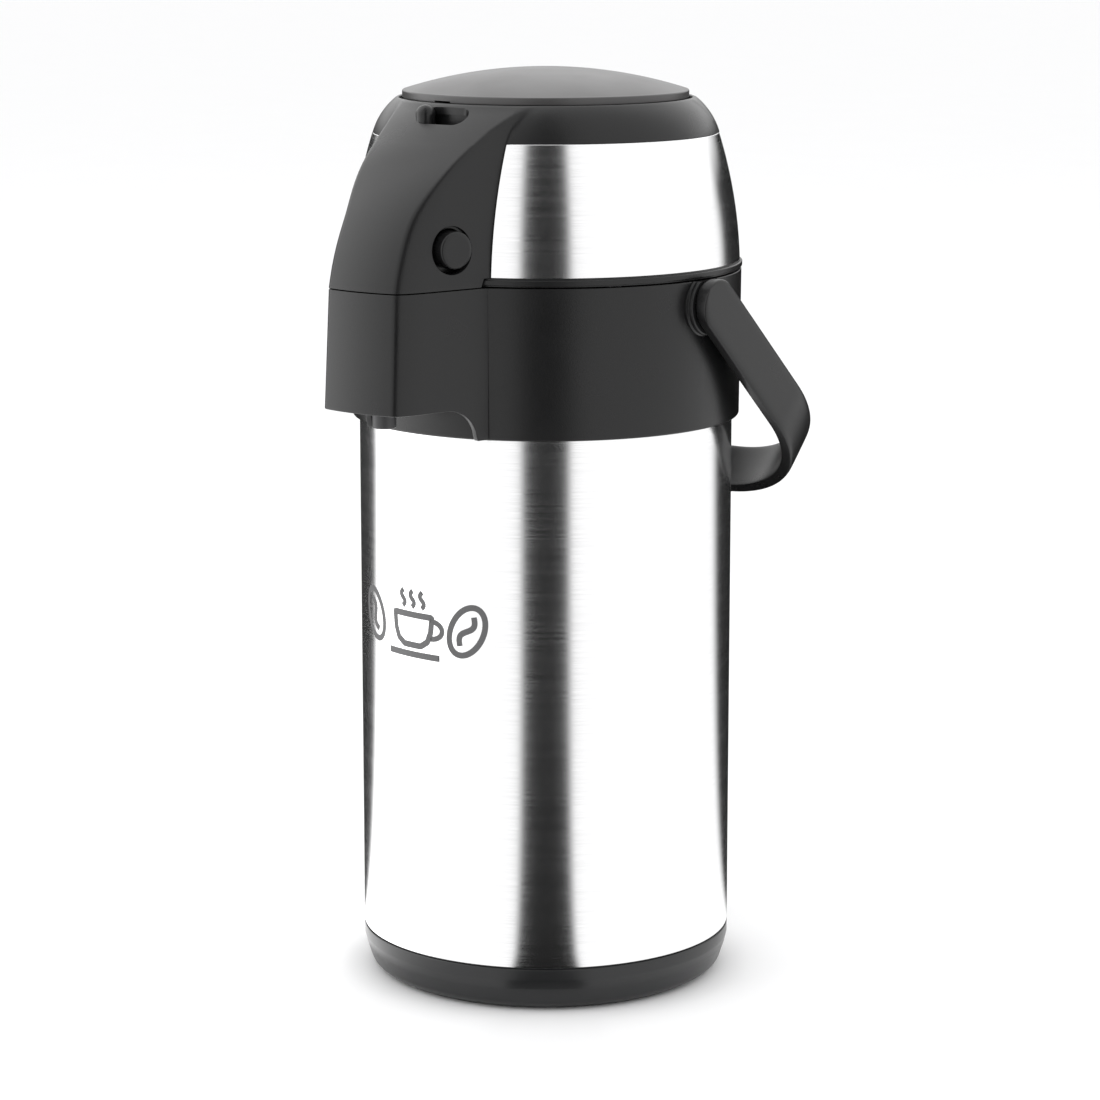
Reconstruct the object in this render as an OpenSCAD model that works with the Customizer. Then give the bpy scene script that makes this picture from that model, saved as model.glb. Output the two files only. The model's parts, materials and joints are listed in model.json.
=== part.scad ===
// Push-top vacuum airpot: steel flask body, hinged pump head, carrying bail.
// Millimetres, +Z up. The origin is on the flask's axis, on the surface it stands on.
// The spout points along -Y, the lid hinge is at +Y and the bail turns about X.

/* [Body] */
// Radius of the brushed steel flask
body_r = 76.5; // [76:0.5:77]
// Height at which the steel starts above the base cup
base_h = 18.6; // [16:0.5:22]
// Height of the lower edge of the plastic collar
collar_z = 234.2; // [232:0.5:236]
// Height of the seam between the collar and the pump head
seam_z = 294.6; // [294:0.2:295]
// Thickness of the flask's sheet steel
steel_t = 1; // [0.8:0.1:1.2]

/* [Pump head] */
// Height of the top edge of the head's steel band
band_top_z = 349.1; // [348:0.1:350]
// Radius of the press disc
disc_r = 58.1; // [57:0.1:58.4]
// Height of the press disc's rim
disc_rim_z = 366; // [365:0.5:368]
// Height of the press disc's highest point
apex_z = 375; // [373:0.5:377]
// Stroke of the press disc
stroke = 22; // [18:1:22]

/* [Spout] */
// Half width of the spout's nose
nose_w = 19; // [18:0.5:20]
// Half width of the spout where it meets the head
root_w = 30.2; // [29:0.1:31]
// Distance of the nozzle from the flask's axis
nozzle_y = 102; // [100:0.5:103]
// Bore radius of the outlet pipe
pipe_bore_r = 3.2; // [2.8:0.1:3.4]

/* [Bail handle] */
// Height of the bail's pivots
pivot_z = 284.4; // [283:0.2:285]
// Reach of the bail from its pivots to its outer edge
bail_l = 124; // [123:0.5:128]
// Half width of the bail over its arms
bail_w = 88; // [87.5:0.5:90]
// Width of the bail's strap
strap_w = 21; // [18:0.5:22]
// Angle at which the bail hangs, below level
bail_tilt = 43; // [42:0.5:43]

/* [Hidden] */
$fn = 96;
eps = 0.01;
slip = 0.3;             // gap between pieces that move past each other
run = 0.06;             // radial clearance of a pin in its bore
big = 400;

// base cup and foot
foot_r = 66;
base_bottom_r = 73;
cup_t = 2.4;
spigot_h = 10;

// flask: shoulder, neck and liner
shoulder_z = 230;
shoulder_round_r = 26;
neck_r = 34;
neck_z = 271;
liner_gap = 8.2;
liner_bottom_z = 34;
neck_liner_r = 30;
weld_z = 235;           // weld between the jacket's tube and its shoulder
liner_weld_z0 = 38;     // welds between the liner's cup, tube and neck piece
liner_weld_z1 = 220;

// collar
collar_r0 = 79.4;
collar_r1 = 79.9;
wall = 2.6;
deck_z = 264;
deck_t = 3;
chin_z = 247.6;
chin_y0 = 120.5;        // reach of the chin at its lower edge
chin_y1 = 117;          // reach of the chin at the seam
chin_floor_z = 262;
arch_r = 12;            // concave sweep from the chin's edge to the collar's edge
arch_y = 92;
nose_corner_r = 7;
seam_gap = 0.4;

// nose of the spout: an arc in the mid plane
nose_arc_r = 86.2;
nose_arc_y = -31.9;
nose_arc_z = 278.3;
function nose_y(z) = -nose_arc_y + sqrt(max(nose_arc_r * nose_arc_r - (z - nose_arc_z) * (z - nose_arc_z), 0));
function nose_half(z) = nose_w + 9 * pow(max(z - 322, 0) / 38, 1.5);
function hood_root_y(z) = 71.5 - 0.19 * (z - seam_z);
HOOD_Z = [0, 10, 20, 30, 40, 50, 57, 62];

// steel band: a slightly barrelled cone, as an arc in section
band_z0 = seam_z + 3.2;
band_arc_r = 189.4;
band_arc_x = -110.1;
band_arc_z = 291;
band_t = 0.9;
cover_t = 2.2;
hood_t = 2.4;
shoulder_arc_r = 28;
shoulder_arc_x = 43.3;
shoulder_arc_z = 341;
well_r = 59.3;
well_t = 2;
well_z = 318;
hinge_y = 86.4;
hinge_r = 5;
hinge_pin_r = 1.9;
hinge_half = 22;
rear_half = 22.5;       // half width of the rear cover between the band's ends
knuckle_half = 11.7;
trim_r = 80.2;
base_plate_t = 2.6;

// pump
bellows_r = 42;
bellows_in_r = 35;
bellows_z0 = 300.4;
bellows_z1 = 354;
bellows_turns = 6;
bellows_t = 1.2;
duct_y = 8;
duct_r = 14;
duct_bore_r = 6;
holder_z = neck_z + 2;
holder_t = 4;

// spout pipe
pipe_z = 282.4;
pipe_r = 4.4;
pipe_start_y = 14;
pipe_seat_z = neck_z - 3;   // where the outlet pipe stands in the holder
seat_t = 3;
elbow_r = 9;
ball_r = 2.6;
nozzle_r = 4.7;
nozzle_z = 240;

// release buttons: each slides along an axis square to the hood's slanting side
button_x = 24.8;        // where the axis meets the hood's side
button_y = 90;
button_z = 310;
button_angle = 15;
button_r = 7.6;
button_out = 2.7;
button_in = 11;
recess_r = 9.3;
recess_d = 2;
button_travel = 3;
cup_r = 4.8;            // pocket for the latch spring's end
cup_d = 6.5;
latch_spring_r = 4.2;
latch_z = 279;
latch_nose_z = 281.4;

// lock slider: the knob's post runs in an arc slot
lock_r = 67;
lock_angle = -6.6;
lock_throw = 11;
knob_r = 4;
knob_z = 357.6;
tab_z = 338;
tab_t = 3;
skirt_z = well_z + stroke + 2;
dome_r = (disc_r * disc_r + (apex_z - disc_rim_z) * (apex_z - disc_rim_z)) / (2 * (apex_z - disc_rim_z));
skirt_t = 2;
screw_r = 1.75;

module ring(r, r_in, z0, z1) {
  translate([0, 0, z0]) difference() {
    cylinder(r = r, h = z1 - z0);
    translate([0, 0, -1]) cylinder(r = r_in, h = z1 - z0 + 2);
  }
}

module x_cyl(r, x0, x1) {
  translate([x0, 0, 0]) rotate([0, 90, 0]) cylinder(r = r, h = x1 - x0);
}

module disc_z_cyl(r, z0, z1) {
  translate([0, 0, z0]) cylinder(r = r, h = z1 - z0);
}

// ---- Base ----

module foot_ring() {
  color("#2a2a2a") ring(foot_r, foot_r - 8, 0, 3.4);
}

module base_cup() {
  corner = 6;
  color("#4b4c4e") difference() {
    union() {
      rotate_extrude() polygon([[0, 0], [base_bottom_r - corner, 0],
        [base_bottom_r - 1.6, 1.4], [base_bottom_r + 1, 4],
        [body_r - 0.6, base_h - 8], [body_r, base_h - 5], [body_r, base_h], [0, base_h]]);
      disc_z_cyl(body_r - steel_t, base_h - 1, base_h + spigot_h);
    }
    disc_z_cyl(body_r - steel_t - cup_t, cup_t + 3, base_h + spigot_h + 1);
    ring(foot_r, foot_r - 8, -1, 3.4);
    for (a = [30, 150, 270]) rotate([0, 0, a]) translate([40, 0, -1]) cylinder(r = screw_r, h = 12);
    for (a = [30, 150, 270]) rotate([0, 0, a]) translate([40, 0, -1]) cylinder(r = 3.6, h = 4.6);
  }
}

module base_screws() {
  color("#b8b8b8") for (a = [30, 150, 270]) rotate([0, 0, a]) translate([40, 0, 0]) {
    disc_z_cyl(3.3, 1.6, 3.6);
    disc_z_cyl(screw_r, 3.6, 21);
  }
}

// ---- Vacuum flask ----

// Half section of a bottle wall: barrel, round shoulder, sloping top and neck
module bottle_outline(r, z0, z1, round_r, neck, top) {
  union() {
    translate([0, z0]) square([r, z1 - z0]);
    intersection() {
      translate([r - round_r, z1]) circle(r = round_r);
      translate([0, z1 - 1]) square([r, round_r + 1]);
    }
    translate([0, z1]) square([r - round_r, round_r]);
    translate([0, z1]) square([neck, top - z1]);
  }
}

module jacket_wall() {
  difference() {
    bottle_outline(body_r, base_h + slip, shoulder_z, shoulder_round_r, neck_r, neck_z);
    translate([0, -steel_t]) bottle_outline(body_r - steel_t, 0, shoulder_z, shoulder_round_r - steel_t,
      neck_r - steel_t, neck_z + 2 * steel_t);
  }
}

module flask_jacket() {
  color("#d9dadb") rotate_extrude() intersection() {
    jacket_wall();
    square([100, weld_z]);
  }
}

module flask_shoulder() {
  color("#c9cacc") rotate_extrude() intersection() {
    jacket_wall();
    translate([0, weld_z]) square([100, 100]);
  }
}

module flask_bottom() {
  color("#c4c5c6") difference() {
    disc_z_cyl(body_r - steel_t, base_h + spigot_h, base_h + spigot_h + 2);
    translate([0, 0, base_h + spigot_h - 1]) cylinder(r1 = 30, r2 = 26, h = 2);
  }
}

// Half section of the inner vessel between two heights
module liner_wall(z0, z1) {
  liner_r = body_r - steel_t - liner_gap;
  top = shoulder_z - liner_gap;
  intersection() {
    union() {
      difference() {
        bottle_outline(liner_r, liner_bottom_z, top, shoulder_round_r - 4, neck_liner_r + steel_t, neck_z);
        translate([0, -steel_t]) bottle_outline(liner_r - steel_t, liner_bottom_z + 2 * steel_t, top,
          shoulder_round_r - 4 - steel_t, neck_liner_r, neck_z + 2 * steel_t);
      }
      translate([neck_liner_r, neck_z - steel_t]) square([neck_r - steel_t - neck_liner_r, steel_t]);
    }
    translate([0, z0]) square([100, z1 - z0]);
  }
}

module flask_liner() {
  color("#c9cacc") rotate_extrude() liner_wall(liner_weld_z0, liner_weld_z1);
}

module liner_cup() {
  color("#c4c5c6") rotate_extrude() liner_wall(0, liner_weld_z0);
}

module liner_neck() {
  color("#c4c5c6") rotate_extrude() liner_wall(liner_weld_z1, big);
}

// ---- Collar and chin ----

// Corners of the spout's plan at one height: two round ones in front, a straight root behind
module tongue(front_y, half, root_y, inset) {
  r = nose_corner_r - inset;
  h = half - inset;
  for (s = [-1, 1]) translate([s * (h - r), -(front_y - nose_corner_r)]) circle(r = r, $fn = 32);
  translate([-(root_w - inset), -root_y]) square([2 * (root_w - inset), 1]);
}

module chin_form(inset, z0) {
  slice = 0.5;
  top = seam_z - seam_gap;
  hull() {
    translate([0, 0, z0]) linear_extrude(slice) tongue(chin_y0, nose_w + 0.6, 68, inset);
    translate([0, 0, top - slice]) linear_extrude(slice) tongue(chin_y1, nose_w, 68, inset);
  }
}

module chin_cut() {
  rotate([90, 0, 90]) linear_extrude(200, center = true) union() {
    translate([-arch_y, collar_z - 0.2]) circle(r = arch_r);
    translate([-200, 0]) square([200 - arch_y, chin_z]);
    translate([-arch_y - eps, 0]) square([arch_r, collar_z - 0.2]);
  }
}

module collar_shell() {
  rotate_extrude() polygon([[collar_r0 - wall, collar_z], [collar_r0 - 0.8, collar_z],
    [collar_r0, collar_z + 0.8], [collar_r1, seam_z - seam_gap], [collar_r1 - wall, seam_z - seam_gap],
    [collar_r0 - wall, collar_z + 6]]);
}

// Round boss that carries a pivot of the bail, flat on top under the head
module bail_boss() {
  boss_r = 12;
  difference() {
    translate([0, 0, pivot_z]) x_cyl(boss_r, 70, 82.3);
    translate([60, -20, seam_z - seam_gap]) cube([30, 40, 20]);
  }
}

module hinge_ears() {
  for (s = [-1, 1]) translate([s * (hinge_half + knuckle_half + slip) / 2, 0, 0]) {
    len = hinge_half - knuckle_half - slip;
    translate([0, hinge_y, seam_z]) x_cyl(hinge_r, -len / 2, len / 2);
    translate([-len / 2, 76, seam_z - 20]) cube([len, 12, 17]);
    translate([-len / 2, hinge_y - hinge_r + 1, seam_z - 8]) cube([len, 2 * hinge_r - 2, 8]);
  }
}

module collar() {
  color("#3a3a3b") difference() {
    union() {
      collar_shell();
      ring(collar_r1 - 1, neck_r + 2, deck_z, deck_z + deck_t);
      ring(body_r - shoulder_round_r + 6, body_r - shoulder_round_r + 3.4, shoulder_z + 27.2, deck_z + 1);
      for (s = [-1, 1]) mirror([s < 0 ? 1 : 0, 0, 0]) bail_boss();
      hinge_ears();
    }
    for (s = [-1, 1]) mirror([s < 0 ? 1 : 0, 0, 0]) translate([0, 0, pivot_z]) x_cyl(5, 68, 84);
    translate([-pipe_r - 1.6, -90, pipe_z - pipe_r - 1.6]) cube([2 * pipe_r + 3.2, 30, 40]);
    translate([0, hinge_y, seam_z]) x_cyl(hinge_pin_r, -30, 30);
    translate([0, hinge_y, seam_z]) x_cyl(hinge_r + 0.6, -knuckle_half - slip, knuckle_half + slip);
  }
}

// Chin of the spout: an open-bottomed cover with a floor that carries the nozzle
module spout_chin() {
  color("#3a3a3b") difference() {
    union() {
      difference() {
        chin_form(0, collar_z);
        chin_form(wall, collar_z - 5);
      }
      translate([0, 0, chin_floor_z]) linear_extrude(2.4) polygon([[-28, -76], [28, -76], [17.6, -116],
        [-17.6, -116]]);
      for (s = [-1, 1]) at_button(s) translate([-3.9, -5, latch_nose_z + 2.2 - button_z]) cube([4, 10, 2.4]);
    }
    chin_cut();
    disc_z_cyl(collar_r1 + eps, 0, big);
    translate([0, -nozzle_y, 0]) disc_z_cyl(nozzle_r + eps, 230, 280);
  }
}

module collar_ring_nut() {
  color("#454546") difference() {
    ring(neck_r + 6, neck_r + 0.01, deck_z + deck_t, neck_z - 0.6);
    for (a = [0:45:315]) rotate([0, 0, a]) translate([neck_r + 6.6, 0, 260]) cylinder(r = 2, h = 20);
  }
}

// ---- Siphon and outlet ----

module neck_gasket() {
  color("#8c3b2e") ring(neck_r + 0.4, neck_liner_r + 0.4, neck_z, holder_z);
}

module siphon_holder() {
  color("#e6e3da") difference() {
    union() {
      disc_z_cyl(neck_r + 1, holder_z, holder_z + holder_t);
      disc_z_cyl(neck_liner_r - 0.4, neck_z - 12, holder_z + eps);
      translate([0, -pipe_start_y, 0]) disc_z_cyl(pipe_r + 2.4, neck_z - 20, holder_z + holder_t);
    }
    translate([0, duct_y, 0]) disc_z_cyl(duct_bore_r, neck_z - 30, holder_z + 20);
    translate([0, -pipe_start_y, 0]) {
      disc_z_cyl(pipe_r, neck_z - 30, pipe_seat_z - seat_t);
      disc_z_cyl(2, neck_z - 30, holder_z);
      disc_z_cyl(pipe_r, pipe_seat_z, holder_z + 20);
      translate([-pipe_r - 0.2, -elbow_r, pipe_z - elbow_r - 0.2]) cube([2 * pipe_r + 0.4, elbow_r, 20]);
    }
    ring(neck_liner_r - 3, duct_y + 12.5, neck_z - 13, neck_z - 4);
  }
}

module siphon_o_ring() {
  color("#6d2f26") translate([0, -pipe_start_y, neck_z - 22]) rotate_extrude()
    translate([pipe_r + 1, 0]) circle(r = 1);
}

module siphon_tube() {
  color("#cfd1d3") translate([0, -pipe_start_y, 0]) difference() {
    ring(pipe_r, pipe_bore_r, liner_bottom_z + 8, pipe_seat_z - seat_t);
    translate([-6, -6, liner_bottom_z + 4]) rotate([20, 0, 0]) cube([12, 12, 5]);
  }
}

// Free ball in a cage under the holder: it closes the siphon when the flask tips over
module tip_valve_ball() {
  color("#dedede") translate([0, -pipe_start_y, pipe_seat_z + ball_r + 0.1]) sphere(r = ball_r);
}

// Pipe centre line as a solid of radius r: riser, elbow, level run, elbow and drop
module pipe_run(r, z0, z1) {
  elbow_z = pipe_z - elbow_r;
  translate([0, -pipe_start_y, 0]) disc_z_cyl(r, z0, elbow_z);
  translate([0, -pipe_start_y - elbow_r, elbow_z]) rotate([90, 0, 90])
    rotate_extrude(angle = 90) translate([elbow_r, 0]) circle(r = r);
  translate([0, -pipe_start_y - elbow_r, pipe_z]) rotate([90, 0, 0])
    cylinder(r = r, h = nozzle_y - pipe_start_y - 2 * elbow_r);
  translate([0, -nozzle_y + elbow_r, elbow_z]) rotate([90, 0, 90]) rotate([0, 0, 90])
    rotate_extrude(angle = 90) translate([elbow_r, 0]) circle(r = r);
  translate([0, -nozzle_y, 0]) disc_z_cyl(r, z1, elbow_z);
}

module outlet_pipe() {
  color("#e2dfd6") difference() {
    pipe_run(pipe_r, pipe_seat_z, pipe_z - elbow_r - 6);
    pipe_run(pipe_bore_r, pipe_seat_z, pipe_z - elbow_r - 6);
  }
}

module spout_nozzle() {
  top = pipe_z - elbow_r - 1;
  color("#2f2f30") translate([0, -nozzle_y, 0]) difference() {
    union() {
      disc_z_cyl(nozzle_r, nozzle_z, top);
      disc_z_cyl(nozzle_r + 2.2, chin_floor_z + 2.4, chin_floor_z + 4.4);
    }
    disc_z_cyl(pipe_bore_r, nozzle_z - 1, top + 1);
    disc_z_cyl(pipe_r, pipe_z - elbow_r - 6, top + 1);
  }
}

// ---- Bail ----

module handle_pivot_pins() {
  color("#8f9193") for (s = [-1, 1]) mirror([s < 0 ? 1 : 0, 0, 0]) translate([0, 0, pivot_z]) x_cyl(5, 72, 86);
}

// Outline of the bail seen square on: straight arms, round corners, flat bar
module bail_outline(inset) {
  w = bail_w - inset;
  r = 58 - inset;
  union() {
    translate([-w, -20]) square([2 * w, bail_l - 58 + 20]);
    for (s = [-1, 1]) translate([s * (w - r), bail_l - 58]) circle(r = r);
    translate([-(w - r), bail_l - 58]) square([2 * (w - r), r]);
  }
}

module bail_handle() {
  strap_t = 5.4;
  color("#333334") translate([0, 0, pivot_z]) rotate([-bail_tilt, 0, 0]) difference() {
    intersection() {
      translate([0, 0, -strap_w / 2]) linear_extrude(strap_w) difference() {
        bail_outline(0);
        bail_outline(strap_t);
      }
      union() {
        x_cyl(strap_w / 2, -100, 100);
        translate([-100, 0, -strap_w / 2]) cube([200, 200, strap_w]);
      }
    }
    for (s = [-1, 1]) mirror([s < 0 ? 1 : 0, 0, 0]) x_cyl(5 + run, 80, 86.4);
  }
}

// ---- Head ----

module hinge_pin() {
  color("#b9babc") translate([0, hinge_y, seam_z]) x_cyl(hinge_pin_r, -hinge_half, hinge_half);
}

module hood_slice(z, inset) {
  tongue(nose_y(z), nose_half(z), hood_root_y(z) - inset, inset);
}

// Stack of tongues whose fronts follow the nose's arc, up to a given height
module hood_form(inset, top) {
  hull() for (dz = HOOD_Z) if (seam_z + dz <= top) translate([0, 0, seam_z + dz])
    linear_extrude(0.5) hood_slice(seam_z + dz, inset);
}

// Half section of the head from height z0 up, moved inwards from the band's face
module head_outline(inset, z0) {
  lap = 1.8;
  intersection() {
    translate([band_arc_x, band_arc_z]) circle(r = band_arc_r - inset);
    translate([0, z0]) square([100, band_top_z + lap - z0]);
  }
  intersection() {
    translate([shoulder_arc_x, shoulder_arc_z]) circle(r = shoulder_arc_r - max(inset - band_t, 0));
    translate([0, band_top_z]) square([100, 40]);
  }
}

// Positions of the four screws that hold the head's base to its cover
module at_head_screws() {
  for (a = [60, 120, 240, 300]) rotate([0, 0, a + 90]) translate([71, 0, 0]) children();
}

module head_cover() {
  inset = band_t + 0.1;
  color("#39393a") difference() {
    union() {
      rotate_extrude() difference() {
        union() {
          difference() {
            head_outline(inset, band_z0);
            head_outline(inset + cover_t, band_z0 - 1);
          }
          translate([well_r, well_z]) square([well_t, 44]);
        }
        square([well_r, big]);
      }
      at_head_screws() disc_z_cyl(4.4, band_z0 + 0.1, 314);
    }
    lock_slot(0.4);
    hood_windows();
    at_head_screws() disc_z_cyl(screw_r, 290, 312);
  }
}

// The dome is open inside the hood on each side of a rib, where the latches sit
module hood_windows() {
  rib = 6;
  for (s = [-1, 1]) translate([s * (rib / 2 + 13) - 10, -120, band_z0 + 8]) cube([20, 58, 35]);
}

// Frame of a release button: local +X points out of the hood's right or left side
module at_button(s) {
  mirror([s < 0 ? 1 : 0, 0, 0]) translate([button_x, -button_y, button_z]) rotate([0, 0, -button_angle])
    children();
}

module spout_hood() {
  color("#39393a") difference() {
    union() {
      difference() {
        hood_form(0, big);
        hood_form(hood_t, seam_z + 58);
        rotate_extrude() head_outline(band_t + 0.1, 290);
      }
      for (s = [-1, 1]) at_button(s) x_cyl(button_r + 2, -6, -1.6);
    }
    for (s = [-1, 1]) at_button(s) {
      x_cyl(button_r + slip, -20, 10);
      x_cyl(recess_r, -recess_d, 10);
    }
    disc_z_cyl(trim_r + eps, seam_z - 1, band_z0 + eps);
    lock_slot(0.4);
  }
}

// Annular slot in which the lock's post travels, and the window for its tab
module lock_slot(gap) {
  half = lock_throw / 2 + 3.9;
  r0 = lock_r - knob_r - gap;
  rotate([0, 0, lock_angle + lock_throw / 2 - 90 - half]) rotate_extrude(angle = 2 * half) {
    translate([r0, tab_z - 3]) square([2 * (lock_r + gap - r0) - 2 * gap, 40]);
    translate([well_r - 2, tab_z - 1]) square([r0 - well_r + 3, tab_t + 2]);
  }
}

// Rear cover over the hinge, behind the ends of the steel band
module rear_cover() {
  color("#39393a") difference() {
    intersection() {
      translate([-rear_half, 60, band_z0]) cube([2 * rear_half, 30, band_top_z - band_z0]);
      rotate_extrude() head_outline(0, band_z0 - 1);
    }
    rotate_extrude() head_outline(band_t + 0.1, 290);
  }
}

module steel_band() {
  color("#d4d5d6") difference() {
    rotate_extrude() difference() {
      intersection() {
        translate([band_arc_x, band_arc_z]) circle(r = band_arc_r);
        translate([60, band_z0]) square([40, band_top_z - band_z0]);
      }
      translate([band_arc_x, band_arc_z]) circle(r = band_arc_r - band_t);
    }
    translate([-root_w - 0.1, -big, 0]) cube([2 * root_w + 0.2, big, big]);
    translate([-rear_half - 0.1, 0, 0]) cube([2 * rear_half + 0.2, big, big]);
  }
}

module head_base() {
  color("#3d3d3e") difference() {
    union() {
      disc_z_cyl(trim_r - 0.6, seam_z, seam_z + 0.6);
      disc_z_cyl(trim_r, seam_z + 0.6, band_z0 - 0.5);
      disc_z_cyl(trim_r - 0.8, band_z0 - 0.6, band_z0);
      translate([0, 0, seam_z]) linear_extrude(base_plate_t) polygon([[-26.5, -60], [26.5, -60],
        [15, -112.5], [-15, -112.5]]);
      disc_z_cyl(bellows_r - 3, band_z0 - 1, bellows_z0);
      translate([-3, -88, seam_z]) cube([6, 8, button_z + 6 - seam_z]);
      translate([0, duct_y, 0]) disc_z_cyl(duct_r, holder_z + holder_t + 2.2, seam_z + 1);
      translate([0, hinge_y, seam_z]) x_cyl(hinge_r, -knuckle_half, knuckle_half);
      translate([-knuckle_half, 76, seam_z + 0.6])
        cube([2 * knuckle_half, hinge_y - 74, band_z0 - seam_z - 0.6]);
      translate([-knuckle_half, trim_r, seam_z + 1])
        cube([2 * knuckle_half, hinge_y + 2 - trim_r, hinge_r - 1]);
    }
    translate([0, duct_y, 0]) disc_z_cyl(duct_bore_r, 260, big);
    translate([0, hinge_y, seam_z]) x_cyl(hinge_pin_r + run, -30, 30);
    at_head_screws() disc_z_cyl(screw_r, 280, 320);
    for (s = [-1, 1]) at_button(s) translate([-14.4, -5, -40]) cube([12, 10, 60]);
    for (s = [-1, 1]) mirror([s < 0 ? 1 : 0, 0, 0]) translate([knuckle_half + slip, hinge_y, seam_z])
      x_cyl(hinge_r + 0.8, 0, 20);
  }
}

module head_screws() {
  color("#b5b6b8") at_head_screws() {
    disc_z_cyl(3.3, seam_z - 2, seam_z);
    disc_z_cyl(screw_r, seam_z - eps, 311);
  }
}

module pump_gasket() {
  color("#8c3b2e") translate([0, duct_y, 0])
    ring(duct_r - 1, duct_bore_r + 1, holder_z + holder_t + 0.2, holder_z + holder_t + 2.2);
}

module air_valve_flap() {
  color("#6d2f26") translate([0, duct_y, 0]) disc_z_cyl(duct_bore_r + 3, bellows_z0, bellows_z0 + 1.4);
}

module bellows_clamp_ring() {
  color("#454546") ring(bellows_r + 5, bellows_r - 3, band_z0, band_z0 + 2.2);
}

module bellows() {
  pitch = (bellows_z1 - bellows_z0 - 3) / bellows_turns;
  out = [for (i = [0:2 * bellows_turns]) [i % 2 == 0 ? bellows_in_r : bellows_r, bellows_z0 + i * pitch / 2]];
  in = [for (p = out) [p[0] - bellows_t * 1.5, p[1]]];
  n = len(in);
  color("#5a5a5c") union() {
    rotate_extrude() polygon(concat(out, [for (i = [0:n - 1]) in[n - 1 - i]]));
    disc_z_cyl(bellows_in_r, bellows_z1 - 3 - eps, bellows_z1);
  }
}

// Round-wire helix: a ring of points carried along the coil
module coil(r, wire_r, z0, z1, turns, per_turn) {
  sides = 8;
  steps = turns * per_turn;
  pts = [for (i = [0:steps]) for (k = [0:sides - 1])
    let (a = 360 * i / per_turn, b = 360 * k / sides, rr = r + wire_r * cos(b))
    [rr * cos(a), rr * sin(a), z0 + (z1 - z0) * i / steps + wire_r * sin(b)]];
  sides_faces = [for (i = [0:steps - 1]) for (k = [0:sides - 1])
    [i * sides + k, (i + 1) * sides + k, (i + 1) * sides + (k + 1) % sides, i * sides + (k + 1) % sides]];
  cap0 = [[for (k = [0:sides - 1]) k]];
  cap1 = [[for (k = [0:sides - 1]) steps * sides + sides - 1 - k]];
  polyhedron(points = pts, faces = concat(sides_faces, cap0, cap1));
}

module return_spring() {
  color("#b0b2b4") coil(24, 1.2, bellows_z0 + 1.6, bellows_z1 - 4.6, 6, 20);
}

module press_disc() {
  color("#9a9b9c") difference() {
    rotate_extrude() difference() {
      union() {
        intersection() {
          translate([0, apex_z - dome_r]) circle(r = dome_r);
          translate([0, disc_rim_z - 1]) square([disc_r, 40]);
        }
        translate([0, disc_rim_z - 3]) square([disc_r, 3]);
        translate([disc_r - 0.6 - skirt_t, skirt_z]) square([skirt_t, disc_rim_z - skirt_z]);
      }
      intersection() {
        translate([0, apex_z - dome_r - 2.4]) circle(r = dome_r);
        translate([0, 0]) square([disc_r - 0.6 - skirt_t, 500]);
      }
    }
    rotate([0, 0, lock_angle - 90]) translate([40, -4.4, skirt_z - 1]) cube([40, 8.8, 24]);
  }
}

module press_plate() {
  color("#454546") difference() {
    union() {
      disc_z_cyl(30, bellows_z1, bellows_z1 + 2.4);
      ring(14, 11.6, bellows_z1 + 2, 380);
    }
    rotate_extrude() difference() {
      translate([0, 0]) square([60, 500]);
      intersection() {
        translate([0, apex_z - dome_r - 2.4]) circle(r = dome_r);
        translate([0, 0]) square([60, 500]);
      }
    }
  }
}

module lock_slider() {
  color("#2b2b2c") rotate([0, 0, lock_angle]) {
    translate([0, -lock_r, 0]) disc_z_cyl(knob_r, tab_z, knob_z);
    translate([0, -lock_r, knob_z]) sphere(r = knob_r);
    translate([-3, -lock_r, tab_z]) cube([6, lock_r - disc_r + 2.4, tab_t]);
  }
}

// Button, latch arm and latch nose in one moulding
module release_button(s) {
  arm_x = -9.4;
  arm_t = 3;
  color("#303031") at_button(s) {
    difference() {
      x_cyl(button_r, -button_in, button_out);
      x_cyl(cup_r, -button_in - 1, -button_in + cup_d);
    }
    translate([arm_x, -4, latch_z - button_z]) cube([arm_t, 8, button_z - latch_z - cup_r - 0.6]);
    translate([arm_x + arm_t - 0.1, -4, latch_nose_z - button_z]) cube([1.5, 8, 1.8]);
  }
}

module release_button_right() {
  release_button(1);
}

module release_button_left() {
  release_button(-1);
}

module latch_springs() {
  inner = -21.5;
  outer = -button_in + cup_d - button_travel - 0.5;
  color("#b0b2b4") for (s = [-1, 1]) at_button(s) translate([inner, 0, 0]) rotate([0, 90, 0])
    coil(latch_spring_r - 0.5, 0.5, 0.5, outer - inner - 0.5, 4, 14);
}

foot_ring();
base_cup();
base_screws();
flask_jacket();
flask_shoulder();
flask_bottom();
flask_liner();
liner_cup();
liner_neck();
collar();
spout_chin();
collar_ring_nut();
neck_gasket();
siphon_holder();
siphon_tube();
siphon_o_ring();
tip_valve_ball();
outlet_pipe();
spout_nozzle();
handle_pivot_pins();
bail_handle();
hinge_pin();
head_base();
head_cover();
spout_hood();
rear_cover();
steel_band();
head_screws();
pump_gasket();
air_valve_flap();
bellows();
bellows_clamp_ring();
return_spring();
press_disc();
press_plate();
lock_slider();
release_button_right();
release_button_left();
latch_springs();
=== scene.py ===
"""Push-top airpot: the visible surfaces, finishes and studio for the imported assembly.

Lengths inside the shape functions are millimetres, and the finished meshes are metres. The origin is on the
flask's axis at table height, the spout points along -Y, and angles are measured from the spout towards +X.
"""

import json
import math

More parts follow.
